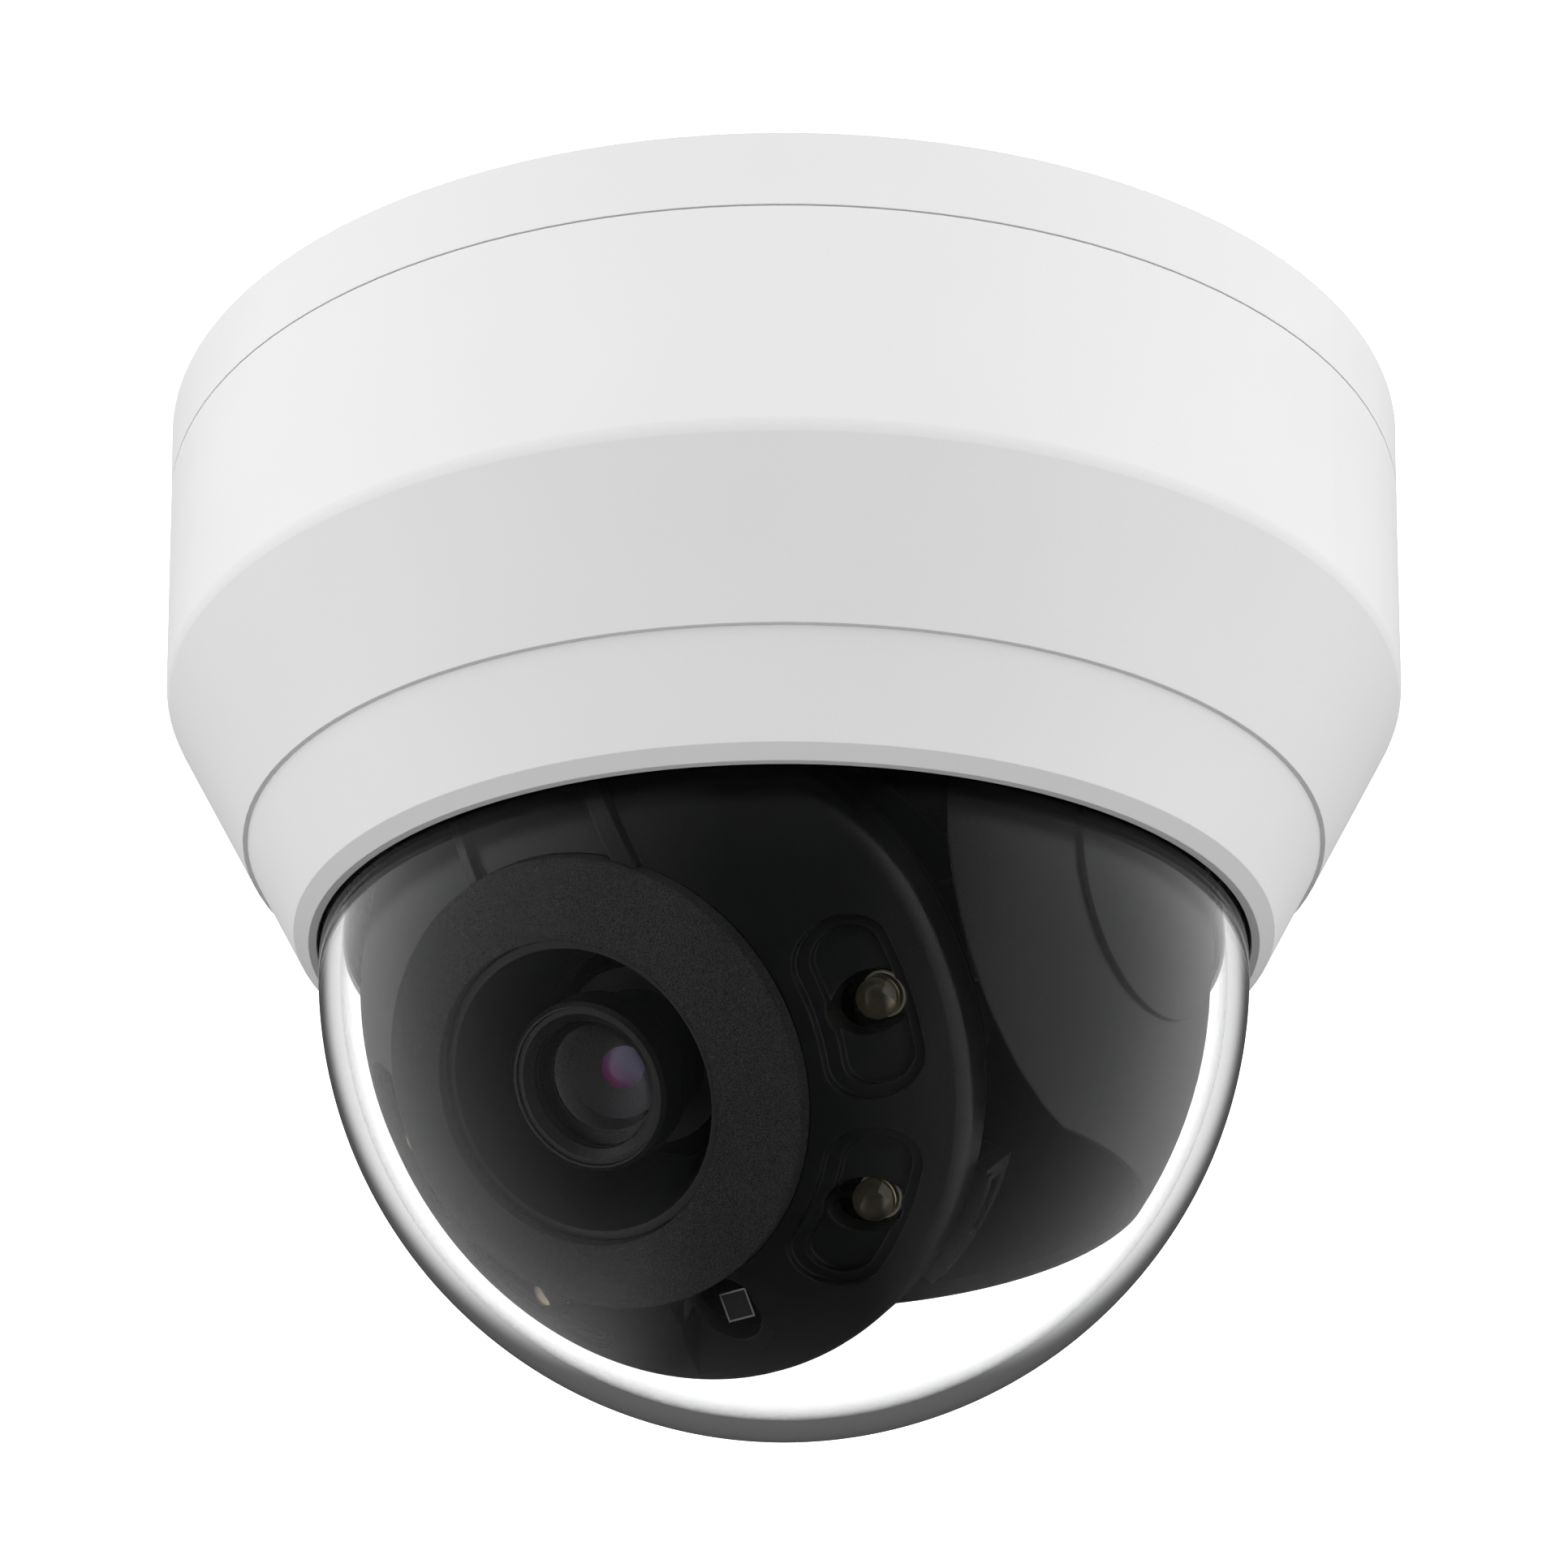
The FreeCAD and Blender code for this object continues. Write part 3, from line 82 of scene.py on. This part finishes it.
class Graph:
    """A small helper that builds one node material."""

    def __init__(self, name):
        self.material = bpy.data.materials.new(name)
        self.material.use_nodes = True
        self.tree = self.material.node_tree
        self.tree.nodes.clear()
        self.output = self.node("ShaderNodeOutputMaterial")
        self.shader = self.node("ShaderNodeBsdfPrincipled")
        self.link(self.shader, "BSDF", self.output, "Surface")
        self.place = self.node("ShaderNodeTexCoord")

    def node(self, kind, **values):
        return add_node(self.tree, kind, **values)

    def link(self, source, output, target, entry):
        self.tree.links.new(source.outputs[output], target.inputs[entry])

    def set(self, **values):
        for key, content in values.items():
            self.shader.inputs[key.replace("_", " ")].default_value = content

    def noise(self, scale, detail=2.0, roughness=0.5, stretch=None):
        made = self.node("ShaderNodeTexNoise")
        made.inputs["Scale"].default_value = scale
        made.inputs["Detail"].default_value = detail
        made.inputs["Roughness"].default_value = roughness
        if stretch:
            mapping = self.node("ShaderNodeMapping")
            mapping.inputs["Scale"].default_value = stretch
            self.link(self.place, "Object", mapping, "Vector")
            self.link(mapping, "Vector", made, "Vector")
        else:
            self.link(self.place, "Object", made, "Vector")
        return made

    def ramp(self, source, output, low, high, start=0.3, end=0.7):
        """Maps a value to a colour between low and high."""
        made = self.node("ShaderNodeValToRGB")
        made.color_ramp.elements[0].position = start
        made.color_ramp.elements[1].position = end
        made.color_ramp.elements[0].color = low
        made.color_ramp.elements[1].color = high
        self.link(source, output, made, "Fac")
        return made

    def span(self, source, output, low, high):
        """Maps a value from 0..1 to low..high."""
        made = self.node("ShaderNodeMapRange")
        made.inputs["To Min"].default_value = low
        made.inputs["To Max"].default_value = high
        self.link(source, output, made, "Value")
        return made

    def bump(self, layers, edge=None):
        """Stacks bumps, each (node, output, strength, distance), over softened edges."""
        last = None
        if edge:
            last = self.node("ShaderNodeBevel", samples=4)
            last.inputs["Radius"].default_value = edge
        for source, output, strength, distance in layers:
            made = self.node("ShaderNodeBump")
            made.inputs["Strength"].default_value = strength
            made.inputs["Distance"].default_value = distance
            self.link(source, output, made, "Height")
            if last:
                self.link(last, "Normal", made, "Normal")
            last = made
        self.link(last, "Normal", self.shader, "Normal")


def shade(colour, factor):
    return tuple(min(1.0, channel * factor) for channel in colour[:3]) + (1.0,)


def grained(name, colour, roughness, grain, grain_depth, variation=0.04, edge=0.15 * MM, specular=0.5,
            speckle=0.0, metallic=0.0):
    """Moulded plastic, rubber or coated metal: fine grain, faint mottling and softened edges."""
    graph = Graph(name)
    mottle = graph.noise(60, detail=3)
    fine = graph.noise(grain, roughness=0.6)
    colours = graph.ramp(mottle, "Fac", shade(colour, 1 - variation), shade(colour, 1 + variation))
    if speckle:
        grains = graph.ramp(fine, "Fac", shade((1, 1, 1), 1 - speckle), (1, 1, 1, 1), 0.35, 0.65)
        mix = graph.node("ShaderNodeMixRGB", blend_type="MULTIPLY")
        mix.inputs["Fac"].default_value = 1.0
        graph.link(colours, "Color", mix, "Color1")
        graph.link(grains, "Color", mix, "Color2")
        colours = mix
    graph.link(colours, "Color", graph.shader, "Base Color")
    rough = graph.span(mottle, "Fac", roughness - 0.05, roughness + 0.05)
    graph.link(rough, "Result", graph.shader, "Roughness")
    graph.set(Specular_IOR_Level=specular, Metallic=metallic)
    graph.bump([(fine, "Fac", 0.35, grain_depth)], edge)
    return graph.material


def metal(name, colour, roughness, edge=0.1 * MM, stretch=(1, 1, 1)):
    """Plated or machined metal with fine lay marks."""
    graph = Graph(name)
    lay = graph.noise(1800, detail=4, roughness=0.6, stretch=stretch)
    stain = graph.noise(120, detail=3)
    colours = graph.ramp(stain, "Fac", shade(colour, 0.9), shade(colour, 1.06))
    graph.link(colours, "Color", graph.shader, "Base Color")
    rough = graph.span(lay, "Fac", roughness - 0.08, roughness + 0.1)
    graph.link(rough, "Result", graph.shader, "Roughness")
    graph.set(Metallic=1.0)
    graph.bump([(lay, "Fac", 0.25, 0.01 * MM)], edge)
    return graph.material


def glass(name, colour, ior, haze=0.01, reflection=1.0):
    """Clear plastic or glass; the haze is a trace of uneven polish; reflection scales what it mirrors
    face-on, for a coated surface."""
    graph = Graph(name)
    polish = graph.noise(400)
    rough = graph.span(polish, "Fac", 0.0, haze)
    graph.link(rough, "Result", graph.shader, "Roughness")
    tint = graph.ramp(polish, "Fac", shade(colour, 0.995), shade(colour, 1.0))
    graph.link(tint, "Color", graph.shader, "Base Color")
    graph.set(Transmission_Weight=1.0, IOR=ior, Specular_Tint=(reflection,) * 3 + (1.0,))
    return graph.material


def board_material(name, mask, trace):
    """Solder mask over copper: tracks show as faint lines and pads."""
    graph = Graph(name)
    tracks = graph.node("ShaderNodeTexBrick")
    tracks.inputs["Scale"].default_value = 260
    tracks.inputs["Mortar Size"].default_value = 0.03
    tracks.inputs["Color1"].default_value = shade(mask, 1.0)
    tracks.inputs["Color2"].default_value = shade(mask, 1.25)
    tracks.inputs["Mortar"].default_value = shade(trace, 1.0)
    graph.link(graph.place, "Object", tracks, "Vector")
    graph.link(tracks, "Color", graph.shader, "Base Color")
    weave = graph.noise(2500)
    graph.set(Roughness=0.3, Coat_Weight=0.3)
    graph.bump([(tracks, "Fac", 0.3, 0.02 * MM), (weave, "Fac", 0.15, 0.01 * MM)], 0.1 * MM)
    return graph.material


MOULDED = {
    "white_plastic": dict(colour=(0.80, 0.80, 0.80), roughness=0.55, grain=2400, grain_depth=0.03 * MM,
                          variation=0.008, edge=0.12 * MM, specular=0.35),
    "black_plastic": dict(colour=(0.011, 0.011, 0.0115), roughness=0.30, grain=3600,
                          grain_depth=0.008 * MM, variation=0.08, edge=0.25 * MM, specular=0.45),
    "black_foam": dict(colour=(0.062, 0.062, 0.0625), roughness=0.95, grain=9000, grain_depth=0.02 * MM,
                       variation=0.05, edge=0.3 * MM, specular=0.05, speckle=0.7),
    "black_rubber": dict(colour=(0.012, 0.012, 0.012), roughness=0.6, grain=3000, grain_depth=0.01 * MM,
                         variation=0.06, edge=0.1 * MM),
    "lens_black": dict(colour=(0.009, 0.009, 0.0095), roughness=0.35, grain=6000,
                       grain_depth=0.004 * MM, variation=0.05, edge=0.08 * MM),
    "led_package": dict(colour=(0.03, 0.028, 0.026), roughness=0.35, grain=5000,
                        grain_depth=0.006 * MM, variation=0.05, edge=0.08 * MM),
    "chip_black": dict(colour=(0.02, 0.02, 0.021), roughness=0.5, grain=5000, grain_depth=0.008 * MM,
                       variation=0.06, edge=0.1 * MM),
    "terminal_green": dict(colour=(0.02, 0.22, 0.07), roughness=0.4, grain=3000, grain_depth=0.01 * MM,
                           variation=0.05),
    "yoke_metal": dict(colour=(0.02, 0.02, 0.021), roughness=0.45, grain=2600, grain_depth=0.01 * MM,
                       variation=0.05, edge=0.2 * MM),
    "acetal": dict(colour=(0.72, 0.71, 0.67), roughness=0.45, grain=2600, grain_depth=0.01 * MM,
                   variation=0.02),
}
GLASSES = {
    "clear_dome": dict(colour=(0.99, 0.992, 0.995), ior=1.49, haze=0.0, reflection=0.1),
    "lens_glass": dict(colour=(0.86, 0.84, 0.88), ior=1.6, reflection=0.2),
    "led_clear": dict(colour=(0.96, 0.95, 0.92), ior=1.5),
    "filter_glass": dict(colour=(0.55, 0.85, 0.90), ior=1.5),
}
METALS = {
    "steel": dict(colour=(0.60, 0.60, 0.61), roughness=0.35),
    "gold_contact": dict(colour=(0.85, 0.62, 0.25), roughness=0.25),
    "aluminium": dict(colour=(0.72, 0.73, 0.74), roughness=0.4, stretch=(1, 12, 1)),
}
BOARDS = {
    "board_green": dict(mask=(0.01, 0.10, 0.04), trace=(0.02, 0.20, 0.08)),
    "board_black": dict(mask=(0.010, 0.010, 0.011), trace=(0.03, 0.03, 0.032)),
}
materials = {}
for make, recipes in ((grained, MOULDED), (glass, GLASSES), (metal, METALS), (board_material, BOARDS)):
    for name, recipe in recipes.items():
        materials[name] = make(name, **recipe)


def paint(piece, material):
    piece.data.materials.clear()
    piece.data.materials.append(material)


for name, node in nodes.items():
    paint(node, materials[slots[name]])


# ---- mesh helpers ---------------------------------------------------------------------------------
# edges that turn more than SHARP stay sharp; a point nearer to the axis than ON_AXIS, in mm, is on it
SHARP = math.radians(30)
ON_AXIS = 1e-6
BUBBLE_SEGMENTS = 256
HEAD_SEGMENTS = 96
SQUARE = 4


def add_piece(name, mesh, body, slot, material=None):
    """Adds a smooth piece on a body; its material is its slot's unless another is given."""
    piece = bpy.data.objects.new(name, mesh)
    bpy.context.scene.collection.objects.link(piece)
    mesh.polygons.foreach_set("use_smooth", [True] * len(mesh.polygons))
    mesh.set_sharp_from_angle(angle=SHARP)
    paint(piece, material or materials[slot])
    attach(piece, body)
    return piece


def close_mesh(name, shape):
    """Turns a bmesh into a named mesh with its faces outward."""
    mesh = bpy.data.meshes.new(name)
    bmesh.ops.recalc_face_normals(shape, faces=shape.faces)
    shape.to_mesh(mesh)
    shape.free()
    return mesh


def lathe(name, outline, place, segments):
    """A closed outline of (radius, height) in mm, turned about the local Z."""
    shape = bmesh.new()
    rings = []
    for radius, height in outline:
        if radius < ON_AXIS:
            rings.append([shape.verts.new(place @ Vector((0, 0, height * MM)))])
            continue
        ring = []
        for step in range(segments):
            turn = TAU * step / segments
            point = Vector((radius * math.cos(turn), radius * math.sin(turn), height)) * MM
            ring.append(shape.verts.new(place @ point))
        rings.append(ring)
    for number, ring in enumerate(rings):
        follower = rings[(number + 1) % len(rings)]
        if len(ring) == 1 and len(follower) == 1:
            continue
        for step in range(segments):
            after = (step + 1) % segments
            corners = [ring[step % len(ring)], ring[after % len(ring)], follower[after % len(follower)],
                       follower[step % len(follower)]]
            shape.faces.new(list(dict.fromkeys(corners)))
    return close_mesh(name, shape)


def arc(radius, start, end, steps, centre=(0, 0)):
    """Points on an arc; angles in degrees, measured from the outward direction up."""
    points = []
    for step in range(steps + 1):
        turn = math.radians(start + (end - start) * step / steps)
        points.append((centre[0] + radius * math.cos(turn), centre[1] + radius * math.sin(turn)))
    return points


# ---- bubble ---------------------------------------------------------------------------------------
BUBBLE_WALL = 2.0
BUBBLE_CHAMFER = 0.3
BUBBLE_STEPS = 64


def bubble():
    """The clear half sphere, its short straight skirt and the flange above it."""
    low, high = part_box("dome_bubble")
    outer = (dome_centre.z - low.z) / MM
    inner = outer - BUBBLE_WALL
    flange = high.x / MM
    flange_top = (high.z - dome_centre.z) / MM
    flange_foot = flange_top - BUBBLE_WALL
    outline = arc(outer, -90, 0, BUBBLE_STEPS)
    outline += [(outer, flange_foot - BUBBLE_CHAMFER), (outer + BUBBLE_CHAMFER, flange_foot),
                (flange, flange_foot), (flange, flange_top), (inner, flange_top)]
    outline += arc(inner, 0, -90, BUBBLE_STEPS)
    mesh = lathe("clear_bubble", outline, DOME, BUBBLE_SEGMENTS)
    piece = add_piece("clear_bubble", mesh, "cover", "clear_dome")
    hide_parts("dome_bubble")


bubble()


# ---- lens unit details: millimetres, x right, y up and z along the lens axis from the dome centre ------
SPOT_SPREAD = 12.0
GLASS_EDGE = 5.58
CROWN_RADIUS = 11.0
CROWN_STEPS = 14
LED_RADIUS = 1.8
# outlines of (radius, height): the stop and the pupil above the middle lens, the rest above an LED's foot
STOP_OUTLINE = [(4.38, 0.05), (4.38, 1.3), (4.1, 1.3), (3.5, 0.8), (3.3, 0.4), (1.35, 0.15), (1.35, 0.05)]
PUPIL_OUTLINE = [(1.4, 0.02), (1.4, 0.1), (0.95, 0.36), (0.5, 0.5), (0.0, 0.55), (0.0, 0.02)]
CUP_OUTLINE = [(1.4, 0.05), (1.4, 0.6), (1.25, 0.65), (0.5, 0.25), (0.0, 0.25), (0.0, 0.05)]
DIE_OUTLINE = [(0.42, 0.26), (0.42, 0.42), (0.0, 0.42), (0.0, 0.26)]
COLLAR_OUTLINE = [(LED_RADIUS + 0.03, 0.0), (LED_RADIUS + 0.25, 0.0), (LED_RADIUS + 0.22, 0.3),
                  (LED_RADIUS + 0.03, 0.35)]
SENSOR_WALL = 0.12
SENSOR_DEPTH = 2.6
SENSOR_PROUD = 0.04
SENSOR_LIP = 0.01


def head_points(name):
    """The vertices of a CAD node in the lens unit's frame."""
    place = HEAD.inverted() @ nodes[name].matrix_world
    return [place @ vertex.co / MM for vertex in nodes[name].data.vertices]


def extent(points):
    return ([min(point[axis] for point in points) for axis in range(3)],
            [max(point[axis] for point in points) for axis in range(3)])


def spots(name):
    """The separate pieces of a CAD node, each as its centre across the lens axis and its lowest and
    highest height along it. Points nearer than SPOT_SPREAD belong to one piece."""
    groups = []
    for point in head_points(name):
        for group in groups:
            if (group[0].xy - point.xy).length < SPOT_SPREAD:
                group.append(point)
                break
        else:
            groups.append([point])
    found = []
    for group in groups:
        lows, highs = extent(group)
        found.append(((lows[0] + highs[0]) / 2, (lows[1] + highs[1]) / 2, lows[2], highs[2]))
    return found


def raised(outline, height):
    return [(radius, height + rise) for radius, rise in outline]


def head_piece(name, outline, slot, material=None, x=0.0, y=0.0, segments=HEAD_SEGMENTS):
    place = HEAD @ Matrix.Translation((x * MM, y * MM, 0))
    return add_piece(name, lathe(name, outline, place, segments), "lens_unit", slot, material)


def painted_glint_material():
    """The coated pupil with a painted reflection: its colour runs from magenta on one side to blue-grey on the
    other, standing in for the coating's glint.
    """
    graph = Graph("lens_painted_glint")
    # painted reflection: the colour goes from magenta to blue-grey across the pupil, in place of the coating's
    # glint
    across = graph.node("ShaderNodeVectorMath", operation="DOT_PRODUCT")
    graph.link(graph.place, "Generated", across, 0)
    across.inputs[1].default_value = (1.0, 0.0, 0.45)
    tint = graph.ramp(across, "Value", (0.30, 0.05, 0.22, 1.0), (0.26, 0.24, 0.38, 1.0), 0.45, 0.95)
    graph.link(tint, "Color", graph.shader, "Base Color")
    ripple = graph.noise(900)
    rough = graph.span(ripple, "Fac", 0.10, 0.16)
    graph.link(rough, "Result", graph.shader, "Roughness")
    graph.set(Specular_IOR_Level=0.6)
    graph.bump([(ripple, "Fac", 0.1, 0.004 * MM)])
    return graph.material


def lens():
    """A shallow dome of dark glass over a stepped black stop with a small coated pupil, whose glint is painted
    into its colour.
    """
    back, crown = spots("front_lens")[0][2:]
    middle = spots("middle_lens")[0][3]
    centre = crown - CROWN_RADIUS
    outline = [(GLASS_EDGE, back)]
    for step in range(CROWN_STEPS + 1):
        across = GLASS_EDGE * (1 - step / CROWN_STEPS)
        outline.append((across, centre + math.sqrt(CROWN_RADIUS ** 2 - across ** 2)))
    outline.append((0.0, back))
    piece = head_piece("front_element", outline, "lens_glass")
    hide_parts("front_lens")
    head_piece("lens_stop", raised(STOP_OUTLINE, middle), "lens_black")
    head_piece("pupil", raised(PUPIL_OUTLINE, middle), "lens_glass", painted_glint_material())


def leds():
    """Clear domes over a gilt cup with a small square die, in a thin collar."""
    gilt = metal("led_gilt", (0.88, 0.78, 0.52), roughness=0.22, edge=0.05 * MM)
    rim = grained("led_rim", (0.60, 0.56, 0.42), roughness=0.3, grain=4000, grain_depth=0.004 * MM,
                  specular=0.8, metallic=0.2)
    die = grained("led_die", (0.30, 0.28, 0.24), roughness=0.3, grain=5000, grain_depth=0.004 * MM)
    for number, (x, y, low, high) in enumerate(spots("led_domes"), 1):
        shoulder = high - LED_RADIUS
        outline = [(LED_RADIUS, low), (LED_RADIUS, shoulder)]
        outline += arc(LED_RADIUS, 0, 90, 20, (0, shoulder))[1:-1]
        outline += [(0.0, high), (0.0, low)]
        dome = head_piece("led_dome_%d" % number, outline, "led_clear", None, x, y)
        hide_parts("led_domes")
        for part, shape, material, segments in (("cup", CUP_OUTLINE, gilt, HEAD_SEGMENTS),
                                                ("die", DIE_OUTLINE, die, SQUARE),
                                                ("collar", COLLAR_OUTLINE, rim, HEAD_SEGMENTS)):
            head_piece("led_%s_%d" % (part, number), raised(shape, low), "led_package", material, x, y,
                       segments)


def sensor_frame():
    """A bright edge round the light sensor's face."""
    lows, highs = extent(head_points("light_sensor"))
    top = highs[2]
    shape = bmesh.new()
    loops = []
    for inset, height in ((-SENSOR_PROUD, top - SENSOR_DEPTH), (-SENSOR_PROUD, top + SENSOR_PROUD),
                          (SENSOR_WALL, top + SENSOR_PROUD), (SENSOR_WALL, top + SENSOR_LIP)):
        left, right = lows[0] + inset, highs[0] - inset
        low, high = lows[1] + inset, highs[1] - inset
        corners = ((left, low), (right, low), (right, high), (left, high))
        loops.append([shape.verts.new(HEAD @ (Vector((x, y, height)) * MM)) for x, y in corners])
    for inner, outer in zip(loops, loops[1:]):
        for step in range(4):
            after = (step + 1) % 4
            shape.faces.new((inner[step], inner[after], outer[after], outer[step]))
    bright = metal("sensor_edge", (0.36, 0.37, 0.38), roughness=0.3, edge=0.05 * MM)
    add_piece("sensor_frame", close_mesh("sensor_frame", shape), "lens_unit", slots["light_sensor"], bright)


lens()
leds()
sensor_frame()


# ---- floor, light and camera ----------------------------------------------------------------------
FLOOR_RADIUS = 1.6
FLOOR_DROP = 0.9
CAMERA_TURN = math.radians(33.2)
CAMERA_PITCH = math.radians(24.85)
CAMERA_REACH = 0.3615
CAMERA_DROP = 0.2013
CAMERA_LENS = 95.74
CAMERA_FILM = 36
# strengths of the light: the backdrop that is seen directly, the soft light on surfaces, what is mirrored
BACKDROP = 2.0
TOP_LIGHT = 0.66
FRONT_LIGHT = 0.50
SIDE_LIGHT = 1.8
SIDE_FALLOFF = 5.0
INNER_LIGHT = 0.56
INNER_SHARE = 0.22
RIM_WALLS = 0.85
RIM_BACK = 0.10
RIM_GLOW = 0.03
OUTER_GLOW = 0.07
OUTER_WALLS = 0.45
INNER_WALLS = 0.62
INNER_CEILING = 0.42
INNER_GLOW = 0.015


def floor():
    mesh = bpy.data.meshes.new("floor")
    shape = bmesh.new()
    bmesh.ops.create_circle(shape, cap_ends=True, segments=96, radius=FLOOR_RADIUS)
    bmesh.ops.translate(shape, verts=shape.verts, vec=(0, 0, -FLOOR_DROP))
    shape.to_mesh(mesh)
    shape.free()
    piece = bpy.data.objects.new("floor", mesh)
    bpy.context.scene.collection.objects.link(piece)
    mesh.materials.append(grained("pale_floor", (0.8, 0.8, 0.8), roughness=0.8, grain=300,
                                  grain_depth=0.1 * MM, variation=0.01))
    piece.visible_diffuse = False
    piece.visible_glossy = False
    piece.visible_transmission = False


def camera():
    data = bpy.data.cameras.new("camera")
    data.lens = CAMERA_LENS
    data.sensor_width = CAMERA_FILM
    data.clip_start = 0.01
    piece = bpy.data.objects.new("camera", data)
    bpy.context.scene.collection.objects.link(piece)
    away = Vector((math.sin(CAMERA_TURN), -math.cos(CAMERA_TURN), 0))
    piece.location = away * CAMERA_REACH + Vector((0, 0, -CAMERA_DROP))
    gaze = -away * math.cos(CAMERA_PITCH) + Vector((0, 0, math.sin(CAMERA_PITCH)))
    piece.rotation_euler = gaze.to_track_quat("-Z", "Y").to_euler()
    bpy.context.scene.camera = piece


def studio():
    """White seen directly or through the bubble; soft light for surfaces; a dim room in reflections."""
    world = bpy.data.worlds.new("studio")
    world.use_nodes = True
    bpy.context.scene.world = world
    world.cycles.sampling_method = "NONE"
    tree = world.node_tree
    tree.nodes.clear()

    def maths(operation, *items):
        made = add_node(tree, "ShaderNodeMath", operation=operation)
        for entry, item in enumerate(items):
            if isinstance(item, (int, float)):
                made.inputs[entry].default_value = item
            else:
                tree.links.new(item, made.inputs[entry])
        return made.outputs[0]

    def smooth(item, start, end, bottom, top):
        """Rises from bottom to top while the item goes from start to end."""
        made = add_node(tree, "ShaderNodeMapRange", interpolation_type="SMOOTHSTEP")
        tree.links.new(item, made.inputs["Value"])
        for entry, number in (("From Min", start), ("From Max", end), ("To Min", bottom), ("To Max", top)):
            made.inputs[entry].default_value = number
        return made.outputs["Result"]

    def along(direction):
        made = add_node(tree, "ShaderNodeVectorMath", operation="DOT_PRODUCT")
        tree.links.new(place.outputs["Generated"], made.inputs[0])
        made.inputs[1].default_value = Vector(direction).normalized()
        return made.outputs["Value"]

    def choose(test, yes, no):
        return maths("ADD", maths("MULTIPLY", yes, test),
                     maths("MULTIPLY", no, maths("SUBTRACT", 1.0, test)))

    place = add_node(tree, "ShaderNodeTexCoord")
    path = add_node(tree, "ShaderNodeLightPath")
    height = along((0, 0, 1))
    right = along((math.cos(CAMERA_TURN), math.sin(CAMERA_TURN), 0))
    behind = along((-math.sin(CAMERA_TURN), math.cos(CAMERA_TURN), 0))
    aside = maths("ABSOLUTE", right)
    # how far a ray has gone: into the bubble's wall, or through it to a part inside and out again
    clear = maths("GREATER_THAN", path.outputs["Transmission Depth"], 0.5)
    deep = maths("GREATER_THAN", path.outputs["Transmission Depth"], 2.5)

    # soft light on surfaces: strong above, in front and at the sides, weak from below; more even on
    # what is inside the bubble
    top = smooth(height, -0.60, 0.1, 0.0, TOP_LIGHT)
    front = smooth(behind, -0.8, 0.2, FRONT_LIGHT, 0.0)
    sides = maths("MULTIPLY", maths("POWER", aside, SIDE_FALLOFF), SIDE_LIGHT)
    soft = maths("ADD", maths("ADD", top, front), sides)
    soft = choose(deep, maths("ADD", maths("MULTIPLY", soft, INNER_SHARE), INNER_LIGHT), soft)
    # what reflections see. In the bubble's own wall: a dim back wall between two bright side walls. On
    # outer surfaces: a dimmer room. On the black parts inside: wide soft windows at the sides and above.
    walls = smooth(aside, 0.22, 0.50, 0.0, RIM_WALLS)
    back = smooth(behind, 0.0, 0.5, 0.0, RIM_BACK)
    rim = maths("ADD", maths("ADD", walls, back), RIM_GLOW)
    outer = smooth(aside, 0.55, 1.0, OUTER_GLOW, OUTER_WALLS)
    windows = maths("ADD", smooth(aside, 0.50, 0.95, 0.0, INNER_WALLS),
                    smooth(height, 0.1, 0.85, 0.0, INNER_CEILING))
    inside = maths("ADD", windows, INNER_GLOW)
    room = choose(deep, inside, choose(clear, rim, outer))

    diffuse = maths("MINIMUM", path.outputs["Diffuse Depth"], 1.0)
    glossy = maths("MINIMUM", path.outputs["Glossy Depth"], 1.0)
    background = add_node(tree, "ShaderNodeBackground")
    background.inputs["Color"].default_value = (1, 1, 1, 1)
    output = add_node(tree, "ShaderNodeOutputWorld")
    tree.links.new(choose(diffuse, soft, choose(glossy, room, BACKDROP)), background.inputs["Strength"])
    tree.links.new(background.outputs[0], output.inputs["Surface"])


floor()
camera()
studio()
scene = bpy.context.scene
scene.view_settings.view_transform = "Standard"
scene.view_settings.look = "None"
